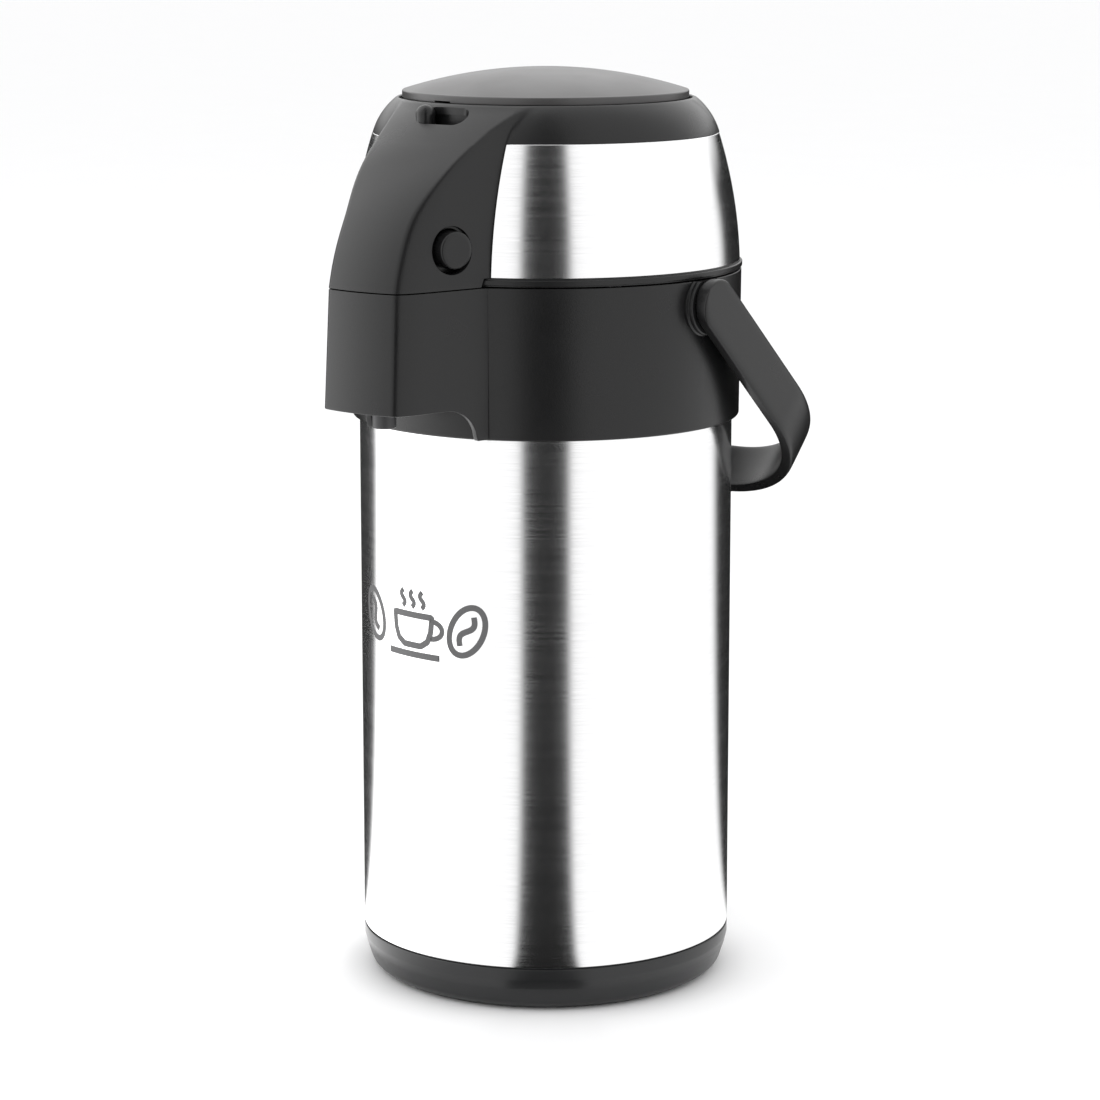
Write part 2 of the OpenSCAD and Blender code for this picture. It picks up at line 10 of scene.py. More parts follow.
import bmesh
import bpy
import numpy as np
from bpy.props import FloatProperty, FloatVectorProperty, PointerProperty
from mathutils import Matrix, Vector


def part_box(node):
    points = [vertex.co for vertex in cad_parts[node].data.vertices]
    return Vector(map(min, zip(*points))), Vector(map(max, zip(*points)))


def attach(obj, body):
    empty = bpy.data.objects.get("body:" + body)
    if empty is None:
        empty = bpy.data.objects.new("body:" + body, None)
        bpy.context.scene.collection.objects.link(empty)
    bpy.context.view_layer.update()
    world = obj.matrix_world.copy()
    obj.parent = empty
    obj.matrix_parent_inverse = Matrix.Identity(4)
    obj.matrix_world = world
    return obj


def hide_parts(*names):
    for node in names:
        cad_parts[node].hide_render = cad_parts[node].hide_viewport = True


bl_info = {
    "name": "Push-top airpot",
    "version": (1, 0, 0),
    "blender": (4, 5, 0),
    "location": "View3D > Sidebar > Airpot",
    "description": "Builds the airpot's shell, pump head, spout, bail and finishes around its assembly frame",
    "category": "Add Mesh",
}

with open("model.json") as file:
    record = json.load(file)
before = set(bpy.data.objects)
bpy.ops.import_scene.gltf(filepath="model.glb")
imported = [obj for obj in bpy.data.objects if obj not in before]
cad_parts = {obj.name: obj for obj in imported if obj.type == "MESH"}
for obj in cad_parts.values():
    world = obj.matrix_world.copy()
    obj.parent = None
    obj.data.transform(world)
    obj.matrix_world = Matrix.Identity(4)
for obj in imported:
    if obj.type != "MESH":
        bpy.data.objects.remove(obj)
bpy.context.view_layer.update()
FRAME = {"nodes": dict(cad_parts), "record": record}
MM = 0.001
SIDES = (-1, 1)
SHUT = 1e3                              # shrinks an outline to its middle, to close a tube


def measure(node):
    """Lowest and highest corner of a frame node, in millimetres."""
    low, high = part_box(node)
    return np.array(low) / MM, np.array(high) / MM


UP = (0, 0, 1)
ACROSS = (1, 0, 0)
BODY_R = measure("base_cup")[1][0]
STEEL_LOW = measure("flask_jacket")[0][2]
BAND_LOW, BAND_HIGH = (corner[2] for corner in measure("steel_band"))
SEAM_Z = 294.6                          # between the collar and the pump head
BAND_ARC = (-110.1, 291, 189.4)         # arcs in section: centre's radius, centre's height, radius
SHOULDER_ARC = (43.3, 341, 28)
NOSE_ARC = (31.9, 278.3, 86.2)
ROOT_X, ROOT_Y, ROOT_LEAN = 30.2, 71.5, 0.19    # where the nose meets the head, and how it leans back
NOSE_HALF = 19                          # half width of the nose's front
TOP_CUT = 354                           # height above which the nose keeps its plan
WELL_R, WELL_Z = 59.3, 318              # well of the press disc
DISC_R, DISC_TOP, DISC_BALL = 58.1, 375.0, 192.0
REAR_HALF = 22.5                        # half width of the rear cover
TRIM_Z = 297.9                          # top of the head's trim rim
PIVOT = (0, 0, 284.4)                   # on the axis of the bail
HINGE = (0, 86.4, SEAM_Z)
NOZZLE = (0, -102, 0)
DUCT = (0, 8, 0)
BUTTON_AT = (24.8, 90.0, 310.0)         # out to the side, towards the spout and up
BUTTON_TURN = math.radians(15)
LOCK_R, LOCK_TURN = 67, math.radians(-6.6)
BAIL_DIP = math.radians(43)
PRINT_TURN, PRINT_Z = math.radians(-6.4), 157


# ---------------------------------------------------------------- shape tools


def smooth_max(a, b, k):
    """The larger of two values, lifted by a parabola where they differ by less than k."""
    gap = np.maximum(k - np.abs(a - b), 0)
    return np.maximum(a, b) + gap * gap / (4 * k)


def smooth_min(a, b, k):
    """The smaller of two values, lowered by a parabola where they differ by less than k."""
    return -smooth_max(-a, -b, k)


def ease(t):
    """0 below 0, 1 above 1, and 3t^2 - 2t^3 between."""
    t = np.clip(t, 0, 1)
    return t * t * (3 - 2 * t)


def rounded(corners, radii, steps=6):
    """Closed outline whose corners are arcs: each corner is swept from one tangent point to the other about
    the centre that lies on its bisector, and the radius shrinks where an edge is too short for it."""
    p = np.asarray(corners, float)
    r = np.broadcast_to(np.asarray(radii, float), len(p))
    back = np.roll(p, 1, 0) - p
    ahead = np.roll(p, -1, 0) - p
    lb = np.linalg.norm(back, axis=1)
    la = np.linalg.norm(ahead, axis=1)
    ub = back / lb[:, None]
    ua = ahead / la[:, None]
    half = np.clip(np.arccos(np.clip((ub * ua).sum(1), -1, 1)) / 2, 0.02, 1.5688)
    reach = np.minimum(r / np.tan(half), 0.49 * np.minimum(lb, la))
    # Press disc colour: dark grey, lighter than the black mouldings; the extra grey is painted light standing
    # in for the light that falls on the disc's top
    rr = reach * np.tan(half)
    bisector = ub + ua
    bisector /= np.maximum(np.linalg.norm(bisector, axis=1), 1e-9)[:, None]
    centre = p + bisector * (rr / np.sin(half))[:, None]
    sweep = math.pi - 2 * half
    t = np.linspace(0, 1, steps)
    w0 = np.sin((1 - t) * sweep[:, None]) / np.sin(sweep)[:, None]
    w1 = np.sin(t * sweep[:, None]) / np.sin(sweep)[:, None]
    v0 = p + ub * reach[:, None] - centre
    v1 = p + ua * reach[:, None] - centre
    out = (centre[:, None] + w0[..., None] * v0[:, None] + w1[..., None] * v1[:, None]).reshape(-1, 2)
    step = np.linalg.norm(out - np.roll(out, 1, 0), axis=1)
    return out[step > 1e-4]


def polar(radius, angle, z):
    """Points at a radius and an angle from the spout, at height z."""
    radius, angle, z = np.broadcast_arrays(radius, angle, z)
    return np.stack([radius * np.sin(angle), -radius * np.cos(angle), z], -1)


def turned(outline, count=192):
    """Outline of (radius, height) carried round the flask's axis, as a shell closed both ways."""
    a = np.linspace(0, 2 * math.pi, count, endpoint=False)
    return polar(outline[None, :, 0], a[:, None], outline[None, :, 1]), True, True


def turned_about(outline, origin, axis, count=64):
    """Outline of (radius, distance) carried round an axis through an origin, closed both ways."""
    w = np.asarray(axis, float) / np.linalg.norm(axis)
    u = np.cross(w, [0, 0, 1]) if abs(w[2]) < 0.9 else np.array([1.0, 0, 0])
    u /= np.linalg.norm(u)
    v = np.cross(w, u)
    a = np.linspace(0, 2 * math.pi, count, endpoint=False)
    round_ = np.cos(a)[:, None] * u + np.sin(a)[:, None] * v
    points = np.asarray(origin, float) + outline[None, :, :1] * round_[:, None] + outline[None, :, 1:] * w
    return points, True, True


def raised(outline, z, grow):
    """Tube through copies of a flat outline: each copy has its own height, and each of its points is moved
    out from the middle by the copy's growth, or in to the middle where the growth is negative enough."""
    middle = outline.mean(0)
    span = np.maximum(np.linalg.norm(outline - middle, axis=1), 1e-6)
    scale = np.clip(1 + grow[:, None] / span[None], 0, 2)
    ring = middle + scale[..., None] * (outline - middle)[None]
    points = np.concatenate([ring, np.broadcast_to(z[:, None, None], ring.shape[:2] + (1,))], -1)
    return points, False, True


def slab(outline, low, high, soft=0.5):
    """Flat outline raised from low to high with rounded rims: rings move inwards on a quarter circle at each
    end."""
    t = np.linspace(0, math.pi / 2, 4)
    grow = -np.concatenate([[SHUT], soft * (1 - np.sin(t)), soft * (1 - np.cos(t)), [SHUT]])
    z = np.concatenate([[low], low + soft * (1 - np.cos(t)), high - soft * (1 - np.sin(t)), [high]])
    return raised(outline, z, grow)


def shell_mesh(name, shells, sharp=30):
    """One mesh from grids of points: neighbouring grid points span the quads, wrapped where the grid closes,
    open tube ends are capped, coincident points are merged and the faces are turned outwards."""
    verts, faces, base = [], [], 0
    for points, wrap_u, wrap_v in shells:
        nu, nv = points.shape[:2]
        u = np.arange(nu if wrap_u else nu - 1)[:, None]
        v = np.arange(nv if wrap_v else nv - 1)[None]
        u1, v1 = (u + 1) % nu, (v + 1) % nv
        quads = np.stack([u * nv + v, u1 * nv + v, u1 * nv + v1, u * nv + v1], -1).reshape(-1, 4) + base
        faces += quads.tolist()
        if wrap_v and not wrap_u:
            faces.append((np.arange(nv)[::-1] + base).tolist())
            faces.append((np.arange(nv) + base + (nu - 1) * nv).tolist())
        verts.append(points.reshape(-1, 3))
        base += nu * nv
    mesh = bpy.data.meshes.new(name)
    mesh.from_pydata((np.concatenate(verts) * MM).tolist(), [], faces)
    bm = bmesh.new()
    bm.from_mesh(mesh)
    bmesh.ops.remove_doubles(bm, verts=bm.verts, dist=2e-6)
    bmesh.ops.dissolve_degenerate(bm, edges=bm.edges, dist=1e-7)
    bmesh.ops.recalc_face_normals(bm, faces=bm.faces)
    bm.to_mesh(mesh)
    bm.free()
    mesh.shade_smooth()
    mesh.set_sharp_from_angle(angle=math.radians(sharp))
    return mesh


def piece(name, shells, sharp=30):
    """New object at the origin that holds the shells' mesh."""
    obj = bpy.data.objects.new(name, shell_mesh(name, shells, sharp))
    bpy.context.scene.collection.objects.link(obj)
    return obj


def settle(obj, sharp=30):
    """Replaces an object's mesh with the result of its modifiers."""
    bpy.context.view_layer.update()
    graph = bpy.context.evaluated_depsgraph_get()
    mesh = bpy.data.meshes.new_from_object(obj.evaluated_get(graph))
    mesh.name = obj.name
    obj.modifiers.clear()
    obj.data = mesh
    mesh.shade_smooth()
    mesh.set_sharp_from_angle(angle=math.radians(sharp))
    return obj


def combine(obj, shells, operation, sharp=30):
    """Adds shells to an object or cuts them out of it."""
    for shell in shells:
        tool = piece(f"{obj.name}_tool", [shell])
        step = obj.modifiers.new("combine", "BOOLEAN")
        step.operation = operation
        step.solver = "EXACT"
        step.object = tool
        settle(obj, sharp)
        mesh = tool.data
        bpy.data.objects.remove(tool)
        bpy.data.meshes.remove(mesh)
    if not len(obj.data.polygons):
        raise RuntimeError(f"{obj.name} lost its surface")
    return obj


def thicken(obj, wall, offset=-1, sharp=30):
    """Gives an open surface a wall, inwards from its face."""
    step = obj.modifiers.new("wall", "SOLIDIFY")
    step.thickness = wall * MM
    step.offset = offset
    step.use_even_offset = False
    step.use_rim = True
    return settle(obj, sharp)


def rod(radius, low, high, origin, axis, count=48):
    """Round bar, or cutter, along an axis."""
    outline = np.array([[0, low], [radius, low], [radius, high], [0, high]], float)
    return turned_about(outline, origin, axis, count)


def swung(points, angle):
    """Flat points turned about the origin by an angle, anticlockwise from above."""
    c, d = math.cos(angle), math.sin(angle)
    return np.asarray(points, float) @ np.array([[c, d], [-d, c]])


def at_button(points, side):
    """Points of a release button's own frame, whose X points out of the hood, put in place on one side."""
    x, y, z = np.moveaxis(np.asarray(points, float), -1, 0)
    c, d = math.cos(BUTTON_TURN), math.sin(BUTTON_TURN)
    out, front, up = BUTTON_AT
    return np.stack([side * (out + x * c + y * d), -front - x * d + y * c, up + z], -1)


def block(low, high, soft=0.4):
    """Rectangular bar with rounded vertical edges and rims."""
    outline = rounded([[low[0], low[1]], [high[0], low[1]], [high[0], high[1]], [low[0], high[1]]], soft, 4)
    return slab(outline, low[2], high[2], soft)


def hand_over(obj, body, slot, material, *nodes):
    """Finishes a piece: its material, the body that carries it and the nodes that it stands for. slot is not
    used.
    """
    obj.data.materials.clear()
    obj.data.materials.append(material)
    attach(obj, body)
    if nodes:
        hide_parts(*nodes)
    return obj


# ---------------------------------------------------------------- head surface


def band_radius(z):
    """Steel band's outer radius: an arc in section."""
    r0, z0, arc = BAND_ARC
    return r0 + np.sqrt(arc**2 - (z - z0) ** 2)


def nose_front(z):
    """Reach of the nose in the mid plane: an arc above the seam, a leaning line below it."""
    y0, z0, arc = NOSE_ARC
    bowed = y0 + np.sqrt(np.maximum(arc**2 - (z - z0) ** 2, 1))
    leaning = 116.55 + (SEAM_Z - z) * 3.5 / 60
    return np.where(z > SEAM_Z, bowed, leaning)


def nose_radius(angle, z, corner, skin=None):
    """Distance of the nose's wall from the axis: a gently bowed front and a side line from the front corner
    to the root, blended over the corner. skin is the head's own radius, into which the front fades near the
    top."""
    zc = np.minimum(z, TOP_CUT)
    reach = nose_front(z) / np.cos(angle)
    reach = reach - (np.sin(angle) * reach) ** 2 / 150
    if skin is not None:
        reach = smooth_max(skin, reach, 12)
    ax = NOSE_HALF + 9 * (np.maximum(zc - 322, 0) / 38) ** 1.5 + 0.6 * np.maximum(SEAM_Z - z, 0) / 60
    ay = nose_front(zc)
    dx, dy = ROOT_X - ax, ROOT_Y - ROOT_LEAN * np.maximum(zc - SEAM_Z, 0) - ay
    s, c = np.abs(np.sin(angle)), np.cos(angle)
    cross = s * dy - c * dx
    side = (ax * dy - ay * dx) / np.where(np.abs(cross) < 1e-6, 1e-6, cross)
    side = np.where((cross < 0) & (side > 0), side, 400)
    return smooth_min(reach, np.minimum(side, 400), corner)


def cover_grid(shapes):
    """Dome and hood as one moulding: radius as a function of angle and height. The head's own radius is the
    band's arc, then the shoulder's arc, and the nose is blended into it; above the rim it turns over a lip
    and runs down the well. Columns are closer over the hood."""
    wide, near, hood = 112, 264, 27
    a = np.radians(np.concatenate([
        np.linspace(-180, -hood, wide, endpoint=False),
        np.linspace(-hood, hood, near, endpoint=False),
        np.linspace(hood, 180, wide, endpoint=False),
    ]))[:, None]
    rise = np.linspace(0, 1, 34)[None]
    shoulder = np.radians(np.linspace(16.9, 51.0, 26))[None]
    corner = shapes.nose_round / MM
    crease = shapes.crease_round / MM
    foot_r = nose_radius(a, np.full_like(a, 298.0), corner)
    foot_z = TRIM_Z - (TRIM_Z - SEAM_Z) * ease(foot_r - 81.2)
    foot_z = np.where(np.abs(a) < math.radians(hood), foot_z, TRIM_Z)
    z1 = foot_z + (BAND_HIGH - foot_z) * rise
    skin1 = band_radius(z1) - 1.05
    r0, z0, arc = SHOULDER_ARC
    z2 = np.broadcast_to(z0 + arc * np.sin(shoulder), (len(a), shoulder.shape[1]))
    skin2 = np.broadcast_to(r0 + arc * np.cos(shoulder), z2.shape)
    rows = []
    for z, skin, under in ((z1, skin1, band_radius(z1)), (z2, skin2, skin2)):
        nose = nose_radius(a, z, corner * (1 - 0.7 * ease((z - 316) / 24)), under)
        rows.append((smooth_max(skin, nose, crease), z))
    back = WELL_R + 2.3
    lip = rounded([[back, 362.15], [WELL_R, 363.98], [WELL_R, WELL_Z], [back, WELL_Z]], [0, 0.8, 0, 0], 5)
    lip = lip[(lip[:, 0] < 60.6) & (lip[:, 1] > WELL_Z + 0.5)]
    lip = np.concatenate([lip, [[WELL_R, 345], [WELL_R, 330], [WELL_R, WELL_Z + 0.2]]])
    rows.append(tuple(np.broadcast_to(lip[:, i], (len(a), len(lip))) for i in (0, 1)))
    r, z = (np.concatenate([row[i] for row in rows], 1) for i in (0, 1))
    return polar(r, a, z), True, False


def chin_grid(shapes):
    """Chin's outer wall: the nose's radius below the seam, from a lower edge that sweeps down to the collar
    in a quarter circle up to the seam."""
    half = math.degrees(math.asin(ROOT_X / 77.4)) + 0.1
    a = np.radians(np.linspace(-half, half, 241))[:, None]
    corner = shapes.nose_round / MM
    y = nose_radius(a, np.full_like(a, 240.0), corner) * np.cos(a)
    t = np.clip((y - 79.6) / 14.5, 0, 1)
    edge = 234.6 + 13.0 * np.sqrt(1 - (1 - t) ** 2)
    z = edge + (SEAM_Z - 0.4 - edge) * np.linspace(0, 1, 26)[None]
    r = nose_radius(a, z, corner)
    return polar(r, a, z), False, False


# ---------------------------------------------------------------- finishes


class Sheet:
    """Small helper that adds nodes to a tree and joins them."""

    def __init__(self, tree):
        self.tree = tree
        tree.nodes.clear()

    def add(self, kind, **values):
        node = self.tree.nodes.new(kind)
        for key, value in values.items():
            setattr(node, key, value)
        return node

    def join(self, out, into):
        self.tree.links.new(out, into)

    def maths(self, operation, a, b=None, clamp=False):
        node = self.add("ShaderNodeMath", operation=operation, use_clamp=clamp)
        for socket, value in zip(node.inputs, (a, b)):
            if isinstance(value, (int, float)):
                socket.default_value = value
            elif value is not None:
                self.join(value, socket)
        return node.outputs[0]

    def span(self, value, low, high, to_low, to_high):
        node = self.add("ShaderNodeMapRange")
        self.join(value, node.inputs["Value"])
        for name, v in (("From Min", low), ("From Max", high), ("To Min", to_low), ("To Max", to_high)):
            node.inputs[name].default_value = v
        return node.outputs[0]

    def noise(self, vector, scale, detail=3.0, rough=0.5):
        node = self.add("ShaderNodeTexNoise")
        self.join(vector, node.inputs["Vector"])
        node.inputs["Scale"].default_value = scale
        node.inputs["Detail"].default_value = detail
        node.inputs["Roughness"].default_value = rough
        return node.outputs["Fac"]

    def stretched(self, scale):
        coord = self.add("ShaderNodeTexCoord")
        mapping = self.add("ShaderNodeMapping")
        mapping.inputs["Scale"].default_value = scale
        self.join(coord.outputs["Object"], mapping.inputs["Vector"])
        return mapping.outputs["Vector"]

    def tint(self, factor, low, high):
        node = self.add("ShaderNodeMix", data_type="RGBA")
        self.join(factor, node.inputs[0])
        node.inputs[6].default_value = (*low, 1)
        node.inputs[7].default_value = (*high, 1)
        return node.outputs[2]


def effect(name, inputs, outputs, build):
    """Node group with named inputs and outputs, filled in by build."""
    if name in bpy.data.node_groups:
        return bpy.data.node_groups[name]
    group = bpy.data.node_groups.new(name, "ShaderNodeTree")
    for label, value, low, high in inputs:
        socket = group.interface.new_socket(label, in_out="INPUT", socket_type="NodeSocketFloat")
        socket.default_value, socket.min_value, socket.max_value = value, low, high
    for label in outputs:
        group.interface.new_socket(label, in_out="OUTPUT", socket_type="NodeSocketFloat")
    sheet = Sheet(group)
    entry = sheet.add("NodeGroupInput")
    leave = sheet.add("NodeGroupOutput")
    for label, value in zip(outputs, build(sheet, entry.outputs)):
        sheet.join(value, leave.inputs[label])
    return group


def moulded_grain():
    """Spark-eroded grain of a moulding: fine noise for the skin, broad noise for the flow of the plastic."""

    def build(sheet, given):
        coord = sheet.add("ShaderNodeTexCoord")
        fine = sheet.add("ShaderNodeTexNoise")
        fine.inputs["Detail"].default_value = 2.0
        sheet.join(coord.outputs["Object"], fine.inputs["Vector"])
        sheet.join(given["Scale"], fine.inputs["Scale"])
        broad = sheet.noise(coord.outputs["Object"], 28.0, 3.0)
        height = sheet.maths("MULTIPLY", fine.outputs["Fac"], given["Depth"])
        return height, broad

    return effect("Moulded grain", [("Scale", 2200, 10, 9000), ("Depth", 1, 0, 4)], ["Height", "Flow"], build)


def brushed_lines():
    """Hairlines round the axis: noise squeezed hard along Z, so each line runs a long way round the shell."""

    def build(sheet, given):
        hair = sheet.noise(sheet.stretched((9, 9, 4200)), 1.0, 3.0, 0.65)
        streak = sheet.noise(sheet.stretched((14, 14, 1300)), 1.0, 2.0, 0.5)
        lines = sheet.maths("ADD", sheet.maths("MULTIPLY", hair, 0.7), sheet.maths("MULTIPLY", streak, 0.3))
        return sheet.maths("MULTIPLY", lines, given["Depth"]), lines

    return effect("Brushed lines", [("Depth", 1, 0, 4)], ["Height", "Lines"], build)


def rubbed_edges():
    """Edges rubbed by hands: convex places, broken up by noise."""

    def build(sheet, given):
        shape = sheet.add("ShaderNodeNewGeometry")
        convex = sheet.span(shape.outputs["Pointiness"], 0.52, 0.62, 0.0, 1.0)
        coord = sheet.add("ShaderNodeTexCoord")
        broken = sheet.span(sheet.noise(coord.outputs["Object"], 160.0, 4.0, 0.6), 0.35, 0.7, 0.2, 1.0)
        return (sheet.maths("MULTIPLY", sheet.maths("MULTIPLY", convex, broken), given["Amount"], clamp=True),)

    return effect("Rubbed edges", [("Amount", 0.4, 0, 2)], ["Mask"], build)


def settled_dust():
    """Dust that settles on what faces up, in soft patches."""

    def build(sheet, given):
        shape = sheet.add("ShaderNodeNewGeometry")
        split = sheet.add("ShaderNodeSeparateXYZ")
        sheet.join(shape.outputs["Normal"], split.inputs[0])
        up = sheet.span(split.outputs["Z"], 0.55, 1.0, 0.0, 1.0)
        coord = sheet.add("ShaderNodeTexCoord")
        patch = sheet.span(sheet.noise(coord.outputs["Object"], 70.0, 5.0, 0.6), 0.3, 0.75, 0.3, 1.0)
        return (sheet.maths("MULTIPLY", sheet.maths("MULTIPLY", up, patch), given["Amount"], clamp=True),)

    return effect("Settled dust", [("Amount", 0.3, 0, 2)], ["Mask"], build)


def use_group(sheet, group, **values):
    """Outputs of a node group placed in a tree with its inputs set."""
    node = sheet.add("ShaderNodeGroup")
    node.node_tree = group
    for key, value in values.items():
        node.inputs[key].default_value = value
    return node.outputs


def material(name, shader_values, paint):
    """Material with one Principled shader: fixed values on its own sockets, the rest from paint."""
    if name in bpy.data.materials:
        return bpy.data.materials[name]
    mat = bpy.data.materials.new(name)
    mat.use_nodes = True
    sheet = Sheet(mat.node_tree)
    out = sheet.add("ShaderNodeOutputMaterial")
    shader = sheet.add("ShaderNodeBsdfPrincipled")
    sheet.join(shader.outputs[0], out.inputs["Surface"])
    for key, value in shader_values.items():
        shader.inputs[key].default_value = value
    paint(sheet, shader.inputs)
    return mat


def bump(sheet, into, height, strength, distance):
    """Joins a height to the shader's normal."""
    node = sheet.add("ShaderNodeBump")
    node.inputs["Strength"].default_value = strength
    node.inputs["Distance"].default_value = distance
    sheet.join(height, node.inputs["Height"])
    sheet.join(node.outputs["Normal"], into["Normal"])


def moulding(name, colour, rough, scale, depth, wear=0.35, dust=0.12, specular=0.5):
    """Moulded plastic or rubber: grain in the bump and the gloss, paler rubbed edges and a little dust."""

    def paint(sheet, into):
        grain = use_group(sheet, moulded_grain(), Scale=scale, Depth=1.0)
        worn = use_group(sheet, rubbed_edges(), Amount=wear)
        dusty = use_group(sheet, settled_dust(), Amount=dust)
        pale = tuple(min(c * 1.7 + 0.02, 1) for c in colour)
        deep = tuple(c * 0.86 for c in colour)
        base = sheet.tint(grain["Flow"], deep, tuple(min(c * 1.14, 1) for c in colour))
        mix = sheet.add("ShaderNodeMix", data_type="RGBA")
        both = sheet.maths("ADD", worn["Mask"], dusty["Mask"], clamp=True)
        sheet.join(both, mix.inputs[0])
        sheet.join(base, mix.inputs[6])
        mix.inputs[7].default_value = (*pale, 1)
        sheet.join(mix.outputs[2], into["Base Color"])
        gloss = sheet.span(grain["Flow"], 0.3, 0.7, rough - 0.04, rough + 0.04)
        polish = sheet.maths("MULTIPLY", worn["Mask"], 0.1)
        sheet.join(sheet.maths("SUBTRACT", gloss, polish), into["Roughness"])
        bump(sheet, into, grain["Height"], 0.35 * depth, 0.00012)

    return material(name, {"Metallic": 0.0, "IOR": 1.5, "Specular IOR Level": specular}, paint)


def brushed(name, colour, rough, lines):
    """Satin steel brushed round the axis: hairlines in tone, gloss and bump."""

    def paint(sheet, into):
        lined = use_group(sheet, brushed_lines(), Depth=1.0)
        tone = sheet.span(lined["Lines"], 0.3, 0.7, 0.0, 1.0)
        dark = tuple(c * (1 - 0.06 * lines) for c in colour)
        sheet.join(sheet.tint(tone, dark, tuple(min(c * 1.03, 1) for c in colour)), into["Base Color"])
        sheet.join(sheet.span(lined["Lines"], 0.3, 0.7, rough + 0.05, rough - 0.03), into["Roughness"])
        tangent = sheet.add("ShaderNodeTangent", direction_type="RADIAL", axis="Z")
        sheet.join(tangent.outputs[0], into["Tangent"])
        bump(sheet, into, lined["Height"], 0.1 * lines, 0.00004)

    return material(name, {"Metallic": 1.0, "Anisotropic": 0.5}, paint)


def plated(name, colour, rough, scale=900.0):
    """Plain drawn or plated metal with faint drawing marks and handling haze."""

    def paint(sheet, into):
        grain = use_group(sheet, moulded_grain(), Scale=scale, Depth=1.0)
        haze = sheet.span(grain["Flow"], 0.3, 0.7, 0.0, 1.0)
        sheet.join(sheet.tint(haze, tuple(c * 0.9 for c in colour), colour), into["Base Color"])
        sheet.join(sheet.span(grain["Flow"], 0.3, 0.7, rough - 0.05, rough + 0.08), into["Roughness"])
        bump(sheet, into, grain["Height"], 0.12, 0.00005)

    return material(name, {"Metallic": 1.0}, paint)


def finishes():
    """Every finish of the airpot, by slot."""
    c = bpy.context.scene.airpot_finish
    return {
        "brushed_shell": brushed("Brushed shell", tuple(c.steel), 0.14, 0.5),
        "bright_steel": plated("Drawn steel", (0.72, 0.73, 0.74), 0.24),
        "fastener_steel": plated("Zinc plate", (0.62, 0.62, 0.64), 0.3, 1600.0),
        "black_plastic": moulding("Black moulding", tuple(c.plastic), 0.3, 2300.0, 1.0, 0.12, 0.03, 0.36),
        # the disc's lighter colour is painted top light on what is the same black plastic
        "disc_plastic": moulding("Press disc moulding lightened for painted top light", tuple(c.disc), 0.36, 2600.0, 0.9, 0.1, 0.1),
        "base_plastic": moulding("Base moulding", tuple(c.base), 0.32, 2300.0, 0.7, 0.15, 0.04, 0.42),
        "inner_plastic": moulding("Inner moulding", (0.035, 0.035, 0.037), 0.46, 1800.0, 0.6),
        "pale_plastic": moulding("Natural moulding", (0.70, 0.67, 0.59), 0.4, 1600.0, 0.4, 0.1),
        "soft_rubber": moulding("Foot rubber", (0.025, 0.025, 0.025), 0.72, 1500.0, 1.4, 0.2),
        "bellows_rubber": moulding("Bellows rubber", (0.06, 0.06, 0.06), 0.6, 1500.0, 0.8, 0.2),
        "silicone": moulding("Silicone", (0.35, 0.09, 0.05), 0.5, 1300.0, 0.4, 0.1),
        "ink": moulding("Print ink", tuple(c.ink), 0.5, 2600.0, 0.4, 0.0, 0.0),
    }


# ---------------------------------------------------------------- pieces


def make_flask_shell(shapes, finish):
    """Bottle section turned round the axis: straight barrel, round shoulder, flat top and neck."""
    t = np.linspace(0, math.pi / 2, 24)
    r, z0 = BODY_R, STEEL_LOW
    bend, bend_z, neck_r, neck_z = 26, 230, 34, 271
    barrel = np.linspace(z0 + 1.2, bend_z, 40)
    hem = np.array([[r - 0.9, z0], [r - 0.35, z0 + 0.12], [r - 0.06, z0 + 0.5]])
    outer = np.concatenate([
        hem,
        np.stack([np.full_like(barrel, r), barrel], 1),
        np.stack([r - bend + bend * np.cos(t[1:]), bend_z + bend * np.sin(t[1:])], 1),
        [[neck_r, bend_z + bend], [neck_r, neck_z]],
    ])
    inner = np.concatenate([
        [[neck_r - 1, neck_z], [neck_r - 1, bend_z + bend - 1]],
        np.stack([r - bend + (bend - 1) * np.cos(t[::-1]), bend_z + (bend - 1) * np.sin(t[::-1])], 1),
        [[r - 1, z0 + 0.3]],
    ])
    obj = piece("brushed_flask_shell", [turned(np.concatenate([outer, inner]), 256)], 25)
    return hand_over(obj, "flask", "brushed_shell", finish["brushed_shell"], "flask_jacket", "flask_shoulder")


